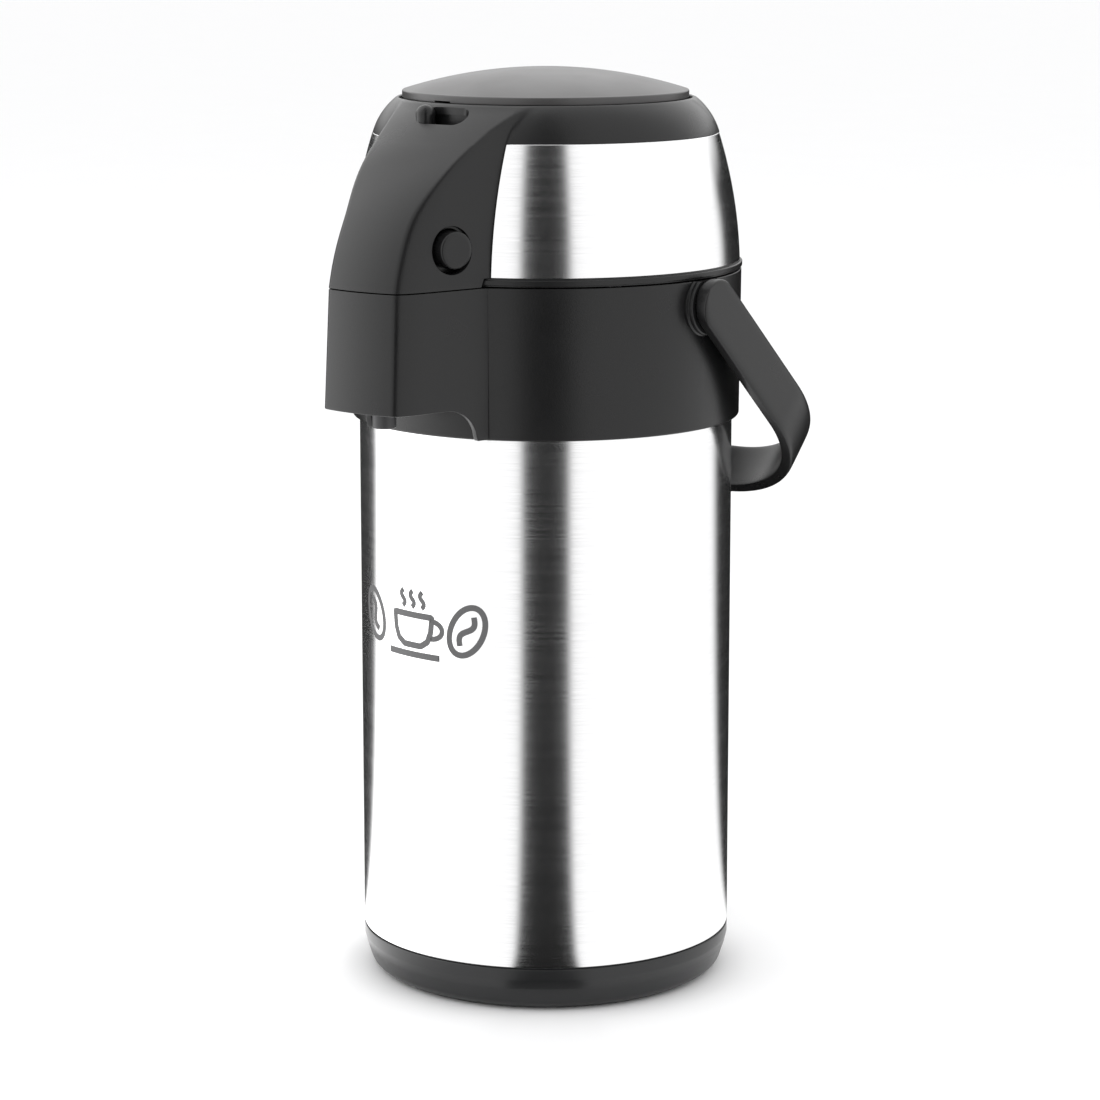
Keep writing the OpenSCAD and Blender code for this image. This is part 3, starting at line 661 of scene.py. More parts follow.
def stroke(points, width, closed=False):
    """Ribbon along a path on the shell: half the width to each side, drawn in round at open ends, as a thin
    film that stands just off the steel. Path points are (distance round, height)."""
    p = np.asarray(points, float)
    if closed:
        p = np.concatenate([p, p[:1]])
    seg = np.linalg.norm(np.diff(p, axis=0), axis=1)
    run = np.concatenate([[0], np.cumsum(seg)])
    n = max(int(run[-1] / 0.5), 12)
    half = width / 2
    if closed:
        at = np.linspace(0, run[-1], n)
    else:
        end = half * (1 - np.cos(np.linspace(0, math.pi / 2, 8)))
        at = np.concatenate([end - half, np.linspace(0, run[-1], n)[1:-1], run[-1] + half - end[::-1]])
    inside = np.clip(at, 0, run[-1])
    path = np.stack([np.interp(inside, run, p[:, 0]), np.interp(inside, run, p[:, 1])], 1)
    ahead = np.stack([np.interp(np.clip(at + 0.4, 0, run[-1]), run, p[:, i]) for i in (0, 1)], 1)
    behind = np.stack([np.interp(np.clip(at - 0.4, 0, run[-1]), run, p[:, i]) for i in (0, 1)], 1)
    along = ahead - behind
    if closed:
        along[0] = along[-1] = (p[1] - p[0]) / seg[0] + (p[-1] - p[-2]) / seg[-1]
    along /= np.maximum(np.linalg.norm(along, axis=1), 1e-6)[:, None]
    path = path + along * (at - inside)[:, None]
    side = np.stack([-along[:, 1], along[:, 0]], 1)
    out = np.abs(at - inside)
    w = np.sqrt(np.maximum(half * half - out * out, 1e-8))
    across = np.linspace(-1, 1, 5)
    flat = path[:, None] + side[:, None] * (w[:, None] * across[None])[..., None]
    low, high = BODY_R - 0.1, BODY_R + 0.07
    ring = np.concatenate([
        np.concatenate([flat, np.full(flat.shape[:2] + (1,), high)], -1),
        np.concatenate([flat[:, ::-1], np.full(flat.shape[:2] + (1,), low)], -1),
    ], 1)
    return polar(ring[..., 2], PRINT_TURN + ring[..., 0] / BODY_R, PRINT_Z + ring[..., 1]), closed, True


def make_print(shapes, finish):
    """Printed mark of plain line drawings: a steaming cup between two coffee beans."""
    w = shapes.print_line / MM
    t = np.linspace(0, 1, 40)
    turn = 2 * math.pi * t[:-1]
    half_bowl = np.array([[4.6, -9.2], [8.2, -7], [9.9, -3], [10.6, 3.2]])
    corners = np.concatenate([half_bowl[::-1] * [-1, 1], half_bowl])
    k = np.arange(len(corners))
    bowl = np.stack([np.interp(np.linspace(0, k[-1], 60), k, corners[:, i]) for i in (0, 1)], 1)
    grip = np.stack([10.2 + 5.4 * np.sin(math.pi * t), -1.8 + 3.6 * np.cos(math.pi * t)], 1)
    shells = [
        stroke(bowl, w, True),
        stroke(grip, w * 0.85),
        stroke([[-14, -13.0], [14, -13.0]], w),
    ]
    for x in (-5.4, 0, 5.4):
        wave = np.stack([x + 1.1 * np.sin(2 * math.pi * t), 6.4 + 6.4 * t], 1)
        shells.append(stroke(wave, w * 0.8))
    for x, lean in ((-27, 0.5), (27, -0.5)):
        ring = np.stack([7.0 * np.cos(turn), 10.6 * np.sin(turn)], 1)
        split = np.stack([1.7 * np.sin(2 * math.pi * t), 6.6 * (1 - 2 * t)], 1)
        for line, shut in ((ring, True), (split, False)):
            shells.append(stroke(swung(line, lean) + [x, -0.6], w * 0.95, shut))
    obj = piece("printed_cup_mark", shells, 40)
    return hand_over(obj, "flask", "black_plastic", finish["ink"])


def make_base(shapes, finish):
    """Base cup turned from its section, with softened edges, the groove for the foot ring and screw
    pockets."""
    r, top = BODY_R, 18.6
    corners = [[0, 0], [58, 0], [58, 3.4], [66, 3.4], [66, 0], [68.2, 0], [73.2, 3.0], [75.6, 10.2], [r, 13.8],
               [r, top], [r - 1, top], [r - 1, 28.6], [r - 3.4, 28.6], [r - 3.4, 5.4], [0, 5.4]]
    radii = [0, 0.3, 0.2, 0.2, 0.6, 2.5, 5, 9, 4, 0.5, 0.2, 0.3, 0.3, 1, 0]
    obj = piece("base_moulding", [turned(rounded(corners, radii, 7), 224)], 28)
    for a in (30, 150, 270):
        x, y = 40 * math.cos(math.radians(a)), 40 * math.sin(math.radians(a))
        combine(obj, [rod(3.6, 3.6, -1, (x, y, 0), UP), rod(1.75, 12, -1, (x, y, 0), UP)], "DIFFERENCE", 28)
    return hand_over(obj, "flask", "base_plastic", finish["base_plastic"], "base_cup")


def make_collar(shapes, finish):
    """Collar turned from its section, with a boss for each pivot, the hinge ears and the channel for the
    pipe."""
    corners = [[79.4, 234.2], [79.9, 294.2], [77.3, 294.2], [77.3, 267], [36, 267], [36, 264], [53.1, 264],
               [53.1, 257.4], [56.4, 257.4], [56.4, 264], [76.9, 264], [76.8, 234.2]]
    radii = [1.0, 0.6, 0.5, 0.4, 0.4, 0.4, 0.1, 0.2, 0.2, 0.1, 0.4, 0.6]
    obj = piece("collar_moulding", [turned(rounded(corners, radii, 6), 224)], 28)
    boss = rounded([[0, 70], [12.6, 70], [12.6, 79.9], [12, 80.6], [12, 82.3], [0, 82.3]],
                   [0, 0, 0.3, 0.5, 0.7, 0], 6)
    for s in SIDES:
        combine(obj, [turned_about(boss, PIVOT, (s, 0, 0), 96)], "UNION", 28)
        combine(obj, [rod(5.0, 68, 82.7, PIVOT, (s, 0, 0))], "DIFFERENCE", 28)
        near, far = sorted((s * 60, s * 90))
        combine(obj, [block((near, -20, 294.2), (far, 20, 305), 0.05)], "DIFFERENCE", 28)
        x0, x1 = sorted((s * 12, s * 22))
        combine(obj, [block((x0, 76.5, 275), (x1, 88, 291.6), 1.2)], "UNION", 28)
        ear = rounded([[0, x0], [5, x0], [5, x1], [0, x1]], [0, 0.5, 0.5, 0], 5)
        combine(obj, [turned_about(ear, HINGE, ACROSS, 64)], "UNION", 28)
        combine(obj, [block((x0 + 0.02, 82.5, 287), (x1 - 0.02, 90.3, SEAM_Z), 0.5)], "UNION", 28)
    combine(obj, [rod(1.9, -30, 30, HINGE, ACROSS)], "DIFFERENCE", 28)
    combine(obj, [block((-6, -90, 276.4), (6, -60, 316), 0.3)], "DIFFERENCE", 28)
    return hand_over(obj, "flask", "black_plastic", finish["black_plastic"], "collar")


def make_chin(shapes, finish):
    """Chin's wall with its thickness turned inwards and softened rims, and the floor that carries the
    nozzle."""
    obj = piece("spout_chin_moulding", [chin_grid(shapes)], 40)
    thicken(obj, 2.6)
    soften = obj.modifiers.new("rims", "BEVEL")
    soften.width = 0.5 * MM
    soften.segments = 3
    soften.limit_method = "ANGLE"
    soften.angle_limit = math.radians(55)
    soften.harden_normals = False
    settle(obj, 35)
    plate = rounded([[-27, -76.5], [27, -76.5], [16.2, -116], [-16.2, -116]], [0.5, 0.5, 4, 4], 6)
    combine(obj, [slab(plate, 262, 264.4, 0.3)], "UNION", 35)
    combine(obj, [rod(4.72, 250, 280, NOZZLE, UP), rod(79.92, 230, 300, (0, 0, 0), UP, 192)], "DIFFERENCE", 35)
    return hand_over(obj, "flask", "black_plastic", finish["black_plastic"], "spout_chin")


def make_nozzle(shapes, finish):
    """Nozzle turned from its section: a tube with a rounded mouth and a flange on the chin's floor."""
    corners = [[3.2, 240], [4.7, 240], [4.7, 264.4], [6.9, 264.4], [6.9, 266.4], [4.7, 266.4], [4.7, 272.4],
               [4.41, 272.4], [4.41, 267.4], [3.2, 267.4]]
    outline = rounded(corners, [0.5, 0.8, 0.1, 0.3, 0.4, 0.2, 0.2, 0.1, 0.1, 0.1], 6)
    obj = piece("spout_nozzle_tube", [turned_about(outline, NOZZLE, UP, 72)], 30)
    return hand_over(obj, "flask", "inner_plastic", finish["inner_plastic"], "spout_nozzle")


def make_bail(shapes, finish):
    """Bail: a crowned strap section (a squared-off oval) carried along straight arms, round corners and a
    flat bar, narrowing in a half circle at each pivot, then hung at its angle below level."""
    reach, half_w, round_, thick, wide = 124.0, 88.0, 58.0, 5.4, 10.5
    mid = thick / 2
    arm = reach - round_ + wide
    bend = (round_ - mid) * math.pi / 2
    bar = 2 * (half_w - round_)
    total = 2 * arm + 2 * bend + bar
    d = wide * (1 - np.cos(np.linspace(0, math.pi / 2, 16)))
    at = np.concatenate([d, np.linspace(wide, total - wide, 300)[1:-1], total - d[::-1]])
    u = np.clip(at - arm, 0, bend) / (round_ - mid)
    v = np.clip(at - arm - bend - bar, 0, bend) / (round_ - mid)
    run_up = np.clip(at, 0, arm) - wide
    across = np.clip(at - arm - bend, 0, bar)
    run_down = np.clip(at - arm - 2 * bend - bar, 0, arm)
    q = round_ - mid
    x = (half_w - mid) - q * (1 - np.cos(u)) - across - q * np.sin(v)
    s = run_up + q * np.sin(u) - q * (1 - np.cos(v)) - run_down
    angle = u + v
    nx, ns = np.cos(angle), np.sin(angle)
    gap = np.minimum(np.minimum(at, total - at), wide)
    w = wide * np.sqrt(np.maximum(1 - (1 - gap / wide) ** 2, 1e-7))
    t = np.linspace(0, 2 * math.pi, 56, endpoint=False)
    square = 2 / 7.0        # exponent of the squared-off oval
    cu = mid * np.sign(np.cos(t)) * np.abs(np.cos(t)) ** square
    cw = np.sign(np.sin(t)) * np.abs(np.sin(t)) ** square
    px = x[:, None] + nx[:, None] * cu[None]
    ps = s[:, None] + ns[:, None] * cu[None]
    pn = w[:, None] * cw[None]
    y = ps * math.cos(BAIL_DIP) + pn * math.sin(BAIL_DIP)
    z = PIVOT[2] - ps * math.sin(BAIL_DIP) + pn * math.cos(BAIL_DIP)
    obj = piece("carrying_bail", [(np.stack([px, y, z], -1), False, True)], 40)
    for side in SIDES:
        combine(obj, [rod(5.08, 80, 86.4, PIVOT, (side, 0, 0), 40)], "DIFFERENCE", 40)
    return hand_over(obj, "bail", "black_plastic", finish["black_plastic"], "bail_handle")


def make_head_base(shapes, finish):
    """Head's lower plate turned from its section with a rounded trim rim, plus the plate under the spout, the
    duct, the latch windows and the hinge knuckle."""
    corners = [[0, SEAM_Z], [79.5, SEAM_Z], [79.5, 295.2], [80.2, 295.2], [80.2, 297.3], [79.3, 297.3],
               [79.3, 297.8], [39, 297.8], [39, 300.4], [0, 300.4]]
    radii = [0, 0.2, 0.2, 0.7, 1.0, 0.1, 0.2, 0.2, 0.3, 0]
    obj = piece("head_base_moulding", [turned(rounded(corners, radii, 6), 224)], 28)
    tongue = rounded([[-26.5, -60], [26.5, -60], [15, -112.5], [-15, -112.5]], [0.2, 0.2, 3, 3], 6)
    duct = rounded([[0, 279.2], [14, 279.2], [14, 296], [0, 296]], [0, 0.6, 0, 0], 5)
    knuckle = rounded([[0, -11.7], [5, -11.7], [5, 11.7], [0, 11.7]], [0, 0.5, 0.5, 0], 5)
    combine(obj, [
        slab(tongue, SEAM_Z, 297.2, 0.2),
        block((-3, -88, 295), (3, -80, 316), 0.5),
        turned_about(duct, DUCT, UP, 64),
        turned_about(knuckle, HINGE, ACROSS, 64),
        block((-11.6, 76, 295.3), (11.6, 88.3, 297.75), 0.3),
        block((-11.6, 80.3, 295.6), (11.6, 88.3, 299.5), 0.3),
    ], "UNION", 28)
    cuts = [rod(6, 260, 320, DUCT, UP), rod(1.96, -30, 30, HINGE, ACROSS)]
    for a in (60, 120, 240, 300):
        b = math.radians(a + 90)
        cuts.append(rod(1.75, 280, 320, (71 * math.cos(b), 71 * math.sin(b), 0), UP, 24))
    window = [[-14.4, -5, 0], [-2.4, -5, 0], [-2.4, 5, 0], [-14.4, 5, 0]]
    for s in SIDES:
        cuts.append(slab(at_button(window, s)[:, :2], 270, 320, 0.01))
    combine(obj, cuts, "DIFFERENCE", 28)
    return hand_over(obj, "head", "inner_plastic", finish["black_plastic"], "head_base")


def button_point(side):
    """Origin and outward axis of a release button."""
    x, y, z = BUTTON_AT
    return (side * x, -y, z), (side * math.cos(BUTTON_TURN), -math.sin(BUTTON_TURN), 0.0)


def make_cover(shapes, finish):
    """Dome and hood: the polar surface given a wall, then the button pockets and the lock's arc slot cut with
    softened mouths."""
    obj = piece("pump_head_cover", [cover_grid(shapes)], 38)
    flip = sum(p.area * (p.center.x * p.normal.x + p.center.y * p.normal.y) for p in obj.data.polygons
               if p.center.z < 0.345 and math.hypot(p.center.x, p.center.y) > 0.065)
    if flip < 0:
        obj.data.flip_normals()
    thicken(obj, 2.2, -1, 38)
    for s in SIDES:
        origin, axis = button_point(s)
        corners = [[0, -20], [7.9, -20], [7.9, -2.6], [9.1, -2.6], [9.1, -0.6], [9.7, 0.3], [9.7, 14], [0, 14]]
        pocket = rounded(corners, [0, 0, 0.3, 0.3, 1.0, 0.6, 0, 0], 5)
        combine(obj, [turned_about(pocket, origin, axis, 96)], "DIFFERENCE", 38)
    combine(obj, [slot_cutter()], "DIFFERENCE", 38)
    return hand_over(obj, "head", "black_plastic", finish["black_plastic"], "head_cover", "spout_hood")


def slot_cutter():
    """Arc slot about the axis with round ends: a ribbon at the lock's radius, raised through the cover and
    widened at its mouth."""
    half = 4.4
    a0, a1 = math.radians(7.0), math.radians(-4.9)
    arc = np.linspace(a0, a1, 34)
    end = np.linspace(-math.pi / 2, math.pi / 2, 12)[1:-1, None]

    def side(angles, radius):
        return polar(radius, angles, 0)[:, :2]

    def cap(a, way):
        outward = np.array([math.sin(a), -math.cos(a)])
        along = np.array([math.cos(a), math.sin(a)]) * way
        return LOCK_R * outward + half * (np.cos(end) * along - np.sin(end) * outward)

    outer, inner = side(arc, LOCK_R + half), side(arc[::-1], LOCK_R - half)
    outline = np.concatenate([outer, cap(a1, -1), inner, cap(a0, 1)[::-1]])
    heights = np.array([334.0, 334, 352, 356.4, 370, 370])
    return raised(outline, heights, np.array([-SHUT, 0, 0, 0, 0.9, -SHUT]))


def panel(cut_from, cut_to, wall, columns):
    """Part of the head's skin between two upright cuts: the angle runs from where the skin meets the first
    cut to where it meets the second, and the section is a thin plate with softened rims on the band's arc."""
    count, rim = 30, 0.3
    inner = np.linspace(BAND_LOW + rim, BAND_HIGH - rim, count)
    z = np.concatenate([[BAND_LOW], inner, [BAND_HIGH], [BAND_HIGH], inner[::-1], [BAND_LOW]])
    off = np.concatenate([[-rim], np.zeros(count), [-rim], [0.2 - wall], np.full(count, -wall), [0.2 - wall]])
    r = band_radius(z) + off
    a0, a1 = cut_from(r), cut_to(r)
    u = np.linspace(0, 1, columns)[:, None]
    return polar(r, a0 + (a1 - a0) * u, z), False, True


def make_band(shapes, finish):
    """Steel band in two halves, between the hood and the rear cover."""

    def hood_end(r):
        return np.arcsin((ROOT_X + 0.15) / r)

    def rear_end(r):
        return math.pi - np.arcsin((REAR_HALF + 0.1) / r)

    points, wrap_u, wrap_v = panel(hood_end, rear_end, 0.9, 150)
    shells = [(points * [s, 1, 1], wrap_u, wrap_v) for s in SIDES]
    obj = piece("brushed_head_band", shells, 25)
    return hand_over(obj, "head", "brushed_shell", finish["brushed_shell"], "steel_band")


def make_rear_cover(shapes, finish):
    """Rear cover over the hinge, on the same skin as the band."""

    def left_end(r):
        return math.pi - np.arcsin(REAR_HALF / r)

    def right_end(r):
        return math.pi + np.arcsin(REAR_HALF / r)

    obj = piece("rear_hinge_cover", [panel(left_end, right_end, 1.0, 48)], 25)
    return hand_over(obj, "head", "black_plastic", finish["black_plastic"], "rear_cover")


def make_disc(shapes, finish):
    """Press disc turned from its section: a shallow dome, a rounded rim and a skirt, notched for the lock."""
    r, soft, wall = DISC_R, 0.6, 2.4
    outer, inner, foot = r - 0.6, r - 2.6, 342.0        # skirt's radii and its lower edge

    def ball(radius, angle):
        return np.stack([radius * np.sin(angle), DISC_TOP - DISC_BALL + radius * np.cos(angle)], 1)

    angle = np.linspace(0, math.asin((r - soft) / DISC_BALL), 40)
    dome = ball(DISC_BALL, angle)
    t = np.linspace(0, 1, 7)[1:]
    turn = t * math.pi / 2
    rim = np.stack([r - soft + soft * np.sin(turn), dome[-1, 1] - soft + soft * np.cos(turn) - 0.1 * t], 1)
    skirt = [[r, 363.3], [r - 0.25, 363.05], [outer, 363.0], [outer, foot + 0.2], [outer - 0.2, foot],
             [inner + 0.2, foot], [inner, foot + 0.2], [inner, 363.8]]
    line = np.concatenate([dome, rim, skirt, ball(DISC_BALL - wall, angle[::-1] * 0.97)])
    obj = piece("push_disc", [turned(line, 224)], 28)
    notch = swung([[-4.4, -80], [4.4, -80], [4.4, -40], [-4.4, -40]], LOCK_TURN)
    combine(obj, [slab(notch, 341, 363.9, 0.01)], "DIFFERENCE", 28)
    return hand_over(obj, "press", "disc_plastic", finish["disc_plastic"], "press_disc")


def make_lock(shapes, finish):
    """Lock knob turned from its section, a post with a domed, slightly waisted head, on its tab."""
    t = np.linspace(0, math.pi / 2, 14)
    head = np.stack([3.95 * np.cos(t), 359 + 3.95 * np.sin(t)], 1)
    line = np.concatenate([[[0, 338.0], [3.6, 338.0], [3.9, 338.3], [3.9, 355.5], [3.75, 357.2]], head])
    at = polar(LOCK_R, LOCK_TURN, 0.0)
    tab = rounded(swung([[-3, -LOCK_R], [3, -LOCK_R], [3, -55.7], [-3, -55.7]], LOCK_TURN), 0.4, 4)
    obj = piece("lock_knob", [turned_about(line, at, UP, 64), slab(tab, 338.05, 341, 0.3)], 35)
    return hand_over(obj, "lock", "black_plastic", finish["black_plastic"], "lock_slider")


def make_buttons(shapes, finish):
    """Release buttons: a cap turned about its axis with a dished face and rounded rim, and its latch arm."""
    line = rounded([[0, 3.3], [5.6, 3.5], [7.3, 3.1], [7.3, -11], [4.8, -11], [4.8, -4.5], [0, -4.5]],
                   [0, 2.0, 1.1, 0.3, 0.3, 0.3, 0], 7)
    arm = rounded([[-9.4, -4], [-6.4, -4], [-6.4, 4], [-9.4, 4]], 0.4, 4)
    nose = rounded([[-6.6, -4], [-5.0, -4], [-5.0, 4], [-6.6, 4]], 0.3, 4)
    for s, body in ((1, "button_right"), (-1, "button_left")):
        origin, axis = button_point(s)
        latch = [slab(arm, -31, -5.5, 0.3), slab(nose, -28.6, -26.8, 0.2)]
        shells = [turned_about(line, origin, axis, 80)]
        shells += [(at_button(points, s), wrap_u, wrap_v) for points, wrap_u, wrap_v in latch]
        node = f"release_{body}"
        obj = piece(f"{node}_cap", shells, 30)
        hand_over(obj, body, "black_plastic", finish["black_plastic"], node)


def finish_inner_parts(finish):
    """Gives every frame node that stays its own slot's finish."""
    for part in FRAME["record"]["subparts"]:
        node = FRAME["nodes"].get(part["node"])
        if node is None:
            raise RuntimeError(f"no node {part['node']}")
        if not node.hide_render:
            node.data.materials.clear()
            node.data.materials.append(finish[part["material_slot"]])


# ---------------------------------------------------------------- stage


def tent_grid():
    """Reflection tent: a floor card, an upright wall and a roof, carried right round the axis."""
    line = np.array([[84, 0.6], [300, 0.6], [1400, 0.6], [1500, 60], [1500, 420], [1500, 520], [1500, 1900],
                     [1300, 2200], [300, 2300], [1, 2300]])
    a = np.linspace(0, 2 * math.pi, 181)[:-1]
    return polar(line[None, :, 0], a[:, None], line[None, :, 1]), True, False


def tent_material(look, heading):
    """Light of the tent by direction: white at the sides, brighter on the spout's side, dark in front, where
    the lens stands, and behind."""
    mat = bpy.data.materials.new("Reflection tent")
    mat.use_nodes = True
    sheet = Sheet(mat.node_tree)
    out = sheet.add("ShaderNodeOutputMaterial")
    glow = sheet.add("ShaderNodeEmission")
    sheet.join(glow.outputs[0], out.inputs["Surface"])
    coord = sheet.add("ShaderNodeTexCoord")
    split = sheet.add("ShaderNodeSeparateXYZ")
    sheet.join(coord.outputs["Object"], split.inputs[0])
    minus_y = sheet.maths("MULTIPLY", split.outputs["Y"], -1.0)
    bearing = sheet.maths("ARCTAN2", split.outputs["X"], minus_y)
    offset = sheet.maths("SUBTRACT", bearing, heading)
    wrapped = sheet.maths("ARCTAN2", sheet.maths("SINE", offset), sheet.maths("COSINE", offset))
    signed = sheet.maths("MULTIPLY", wrapped, 180 / math.pi)
    away = sheet.maths("ABSOLUTE", signed)
    front = sheet.span(away, look.gap_inner, look.gap_outer, look.gap_level, 1.0)
    rear = sheet.span(away, look.rear_from, look.rear_from + 9, 1.0, look.rear_level)
    near_side = sheet.span(signed, -45.0, -85.0, 1.0, look.side_level)
    low = sheet.maths("MULTIPLY", sheet.maths("MULTIPLY", front, rear), near_side)
    high = sheet.span(split.outputs["Z"], 0.42, 0.62, 0.0, 1.0)
    mixed = sheet.add("ShaderNodeMix", data_type="FLOAT")
    sheet.join(high, mixed.inputs[0])
    sheet.join(low, mixed.inputs[2])
    upper = sheet.span(away, 60.0, 120.0, look.gap_level, look.roof_level)
    sheet.join(sheet.maths("MAXIMUM", low, upper), mixed.inputs[3])
    sheet.join(sheet.maths("MULTIPLY", mixed.outputs[0], look.tent_light), glow.inputs["Strength"])
    return mat


def floor_material(look):
    """Plain pale sweep with a faint mottle."""

    def paint(sheet, into):
        coord = sheet.add("ShaderNodeTexCoord")
        mottle = sheet.noise(coord.outputs["Object"], 9.0, 4.0)
        pale = tuple(look.floor)
        sheet.join(sheet.tint(mottle, tuple(c * 0.985 for c in pale), pale), into["Base Color"])
        sheet.join(sheet.span(mottle, 0.2, 0.8, 0.75, 0.85), into["Roughness"])

    return material("Pale sweep", {"Specular IOR Level": 0.2}, paint)


def make_floor(look):
    """Wide round floor."""
    ring = np.array([0.001, 0.4, 2, 8, 30]) / MM
    a = np.linspace(0, 2 * math.pi, 97)[:-1]
    floor = piece("floor", [(polar(ring[None, :], a[:, None], np.full((1, 5), -0.05)), True, False)])
    if floor.data.polygons[0].normal.z < 0:
        floor.data.flip_normals()
    floor.data.materials.append(floor_material(look))


def make_tent(look):
    """Reflection tent, which only reflections see."""
    tent = piece("reflection_tent", [tent_grid()])
    tent.data.materials.append(tent_material(look, look.camera_angle))
    tent.visible_camera = tent.visible_diffuse = tent.visible_shadow = False
    tent.visible_transmission = tent.visible_volume_scatter = False


def make_light(name, bearing, out, height, power, size):
    """Soft square light at a bearing from the spout, aimed at the middle of the flask."""
    data = bpy.data.lights.new(name, "AREA")
    data.shape = "RECTANGLE"
    data.size = data.size_y = size
    data.energy = power
    light = bpy.data.objects.new(name, data)
    bpy.context.scene.collection.objects.link(light)
    light.location = (out * math.sin(bearing), -out * math.cos(bearing), height)
    direction = light.location.copy()
    direction.z -= 0.2
    light.rotation_euler = direction.to_track_quat("Z", "Y").to_euler()
    light.visible_camera = False
    light.visible_glossy = False


def make_stage(look):
    """Floor, reflection tent, soft lights, world and camera."""
    scene = bpy.context.scene
    heading = look.camera_angle
    make_floor(look)
    make_tent(look)
    make_light("key", heading + math.radians(-70), 1.9, 1.7, look.key_light, 1.6)
    make_light("fill", heading + math.radians(75), 1.9, 1.5, look.key_light * 0.7, 1.6)
    make_light("top", heading + math.radians(180), 0.5, 2.3, look.key_light * 0.9, 1.8)
    world = bpy.data.worlds.new("Pale room")
    world.use_nodes = True
    scene.world = world
    back = world.node_tree.nodes["Background"]
    back.inputs["Color"].default_value = (0.97, 0.97, 0.975, 1)
    back.inputs["Strength"].default_value = look.room_light
    scene.view_settings.view_transform = "Standard"
    camera = bpy.data.objects.new("camera", bpy.data.cameras.new("camera"))
    scene.collection.objects.link(camera)
    camera.data.lens = look.camera_lens
    camera.data.sensor_width = 36
    d, h = look.camera_distance, look.camera_height
    camera.location = (d * math.sin(heading), -d * math.cos(heading), h)
    camera.rotation_euler = (math.pi / 2 - look.camera_dip, 0, heading - math.radians(0.07))
    scene.camera = camera


# ---------------------------------------------------------------- add-on


class AirpotShapes(bpy.types.PropertyGroup):
    """Sizes of the visible surfaces that the frame leaves open."""

    nose_round: FloatProperty(name="Nose corner", description="Blend over the nose's upright corners",
                              default=0.010, min=0.003, max=0.02, unit="LENGTH")
    crease_round: FloatProperty(name="Head crease", description="Blend where the nose meets the head",
                                default=0.0014, min=0.0005, max=0.006, unit="LENGTH")
    print_line: FloatProperty(name="Print line", description="Width of the printed lines",
                              default=0.0026, min=0.001, max=0.005, unit="LENGTH")


class AirpotFinish(bpy.types.PropertyGroup):
    """Colours of the finishes."""

    steel: FloatVectorProperty(name="Steel", description="Brushed steel", subtype="COLOR", size=3,
                               default=(0.86, 0.86, 0.865), min=0, max=1)
    plastic: FloatVectorProperty(name="Black plastic", description="Outer mouldings", subtype="COLOR", size=3,
                                 default=(0.0065, 0.0065, 0.0068), min=0, max=1)
    disc: FloatVectorProperty(name="Press disc", description="Press disc moulding lightened for painted top light", subtype="COLOR", size=3,
                              default=(0.05, 0.0485, 0.0485), min=0, max=1)
    base: FloatVectorProperty(name="Base", description="Base cup moulding", subtype="COLOR", size=3,
                              default=(0.014, 0.0143, 0.015), min=0, max=1)
    ink: FloatVectorProperty(name="Print", description="Printed mark", subtype="COLOR", size=3,
                             default=(0.085, 0.085, 0.087), min=0, max=1)


class AirpotStage(bpy.types.PropertyGroup):
    """Camera, floor and light."""

    floor: FloatVectorProperty(name="Floor", description="Floor colour", subtype="COLOR", size=3,
                               default=(0.94, 0.94, 0.94), min=0, max=1)
    camera_angle: FloatProperty(name="Camera angle", description="Bearing of the camera from the spout",
                                default=math.radians(38), subtype="ANGLE")
    camera_dip: FloatProperty(name="Camera dip", description="How far the camera looks down",
                              default=math.radians(11.003), subtype="ANGLE")
    camera_distance: FloatProperty(name="Camera distance", description="Distance from the axis",
                                   default=1.4328, unit="LENGTH")
    camera_height: FloatProperty(name="Camera height", description="Height above the table",
                                 default=0.4545, unit="LENGTH")
    camera_lens: FloatProperty(name="Lens", description="Focal length in millimetres", default=115.08)
    room_light: FloatProperty(name="Room light", description="Strength of the even light", default=1.08)
    key_light: FloatProperty(name="Soft light", description="Power of the key light", default=9.0,
                             subtype="POWER")
    tent_light: FloatProperty(name="Tent light", description="Brightness of the reflected tent", default=1.2)
    gap_inner: FloatProperty(name="Gap", description="Half angle of the dark gap, degrees", default=12.5)
    gap_outer: FloatProperty(name="Gap edge", description="Where the gap has faded out, degrees",
                             default=15.5)
    gap_level: FloatProperty(name="Gap level", description="Light left in the gap", default=0.01)
    rear_from: FloatProperty(name="Rear gap", description="Where the rear gap starts, degrees", default=121.0)
    rear_level: FloatProperty(name="Rear level", description="Light left behind", default=0.01)
    side_level: FloatProperty(name="Side level", description="Light of the wall on the spout's side",
                              default=2.0)
    roof_level: FloatProperty(name="Rear wall level", description="Light of the upper rear wall", default=1.3)


def shapes_and_finish(context):
    """What every piece is made from: the shape settings and the finishes."""
    return context.scene.airpot_shapes, finishes()


class AIRPOT_OT_flask(bpy.types.Operator):
    """Build the brushed flask shell"""

    bl_idname = "airpot.flask"
    bl_label = "Flask shell"

    def execute(self, context):
        make_flask_shell(*shapes_and_finish(context))
        return {"FINISHED"}


class AIRPOT_OT_print(bpy.types.Operator):
    """Print the cup and beans on the shell"""

    bl_idname = "airpot.print_mark"
    bl_label = "Printed mark"

    def execute(self, context):
        make_print(*shapes_and_finish(context))
        return {"FINISHED"}


class AIRPOT_OT_base(bpy.types.Operator):
    """Build the base moulding"""

    bl_idname = "airpot.base"
    bl_label = "Base moulding"

    def execute(self, context):
        make_base(*shapes_and_finish(context))
        return {"FINISHED"}


class AIRPOT_OT_collar(bpy.types.Operator):
    """Build the collar with its bosses and hinge ears"""

    bl_idname = "airpot.collar"
    bl_label = "Collar"

    def execute(self, context):
        make_collar(*shapes_and_finish(context))
        return {"FINISHED"}


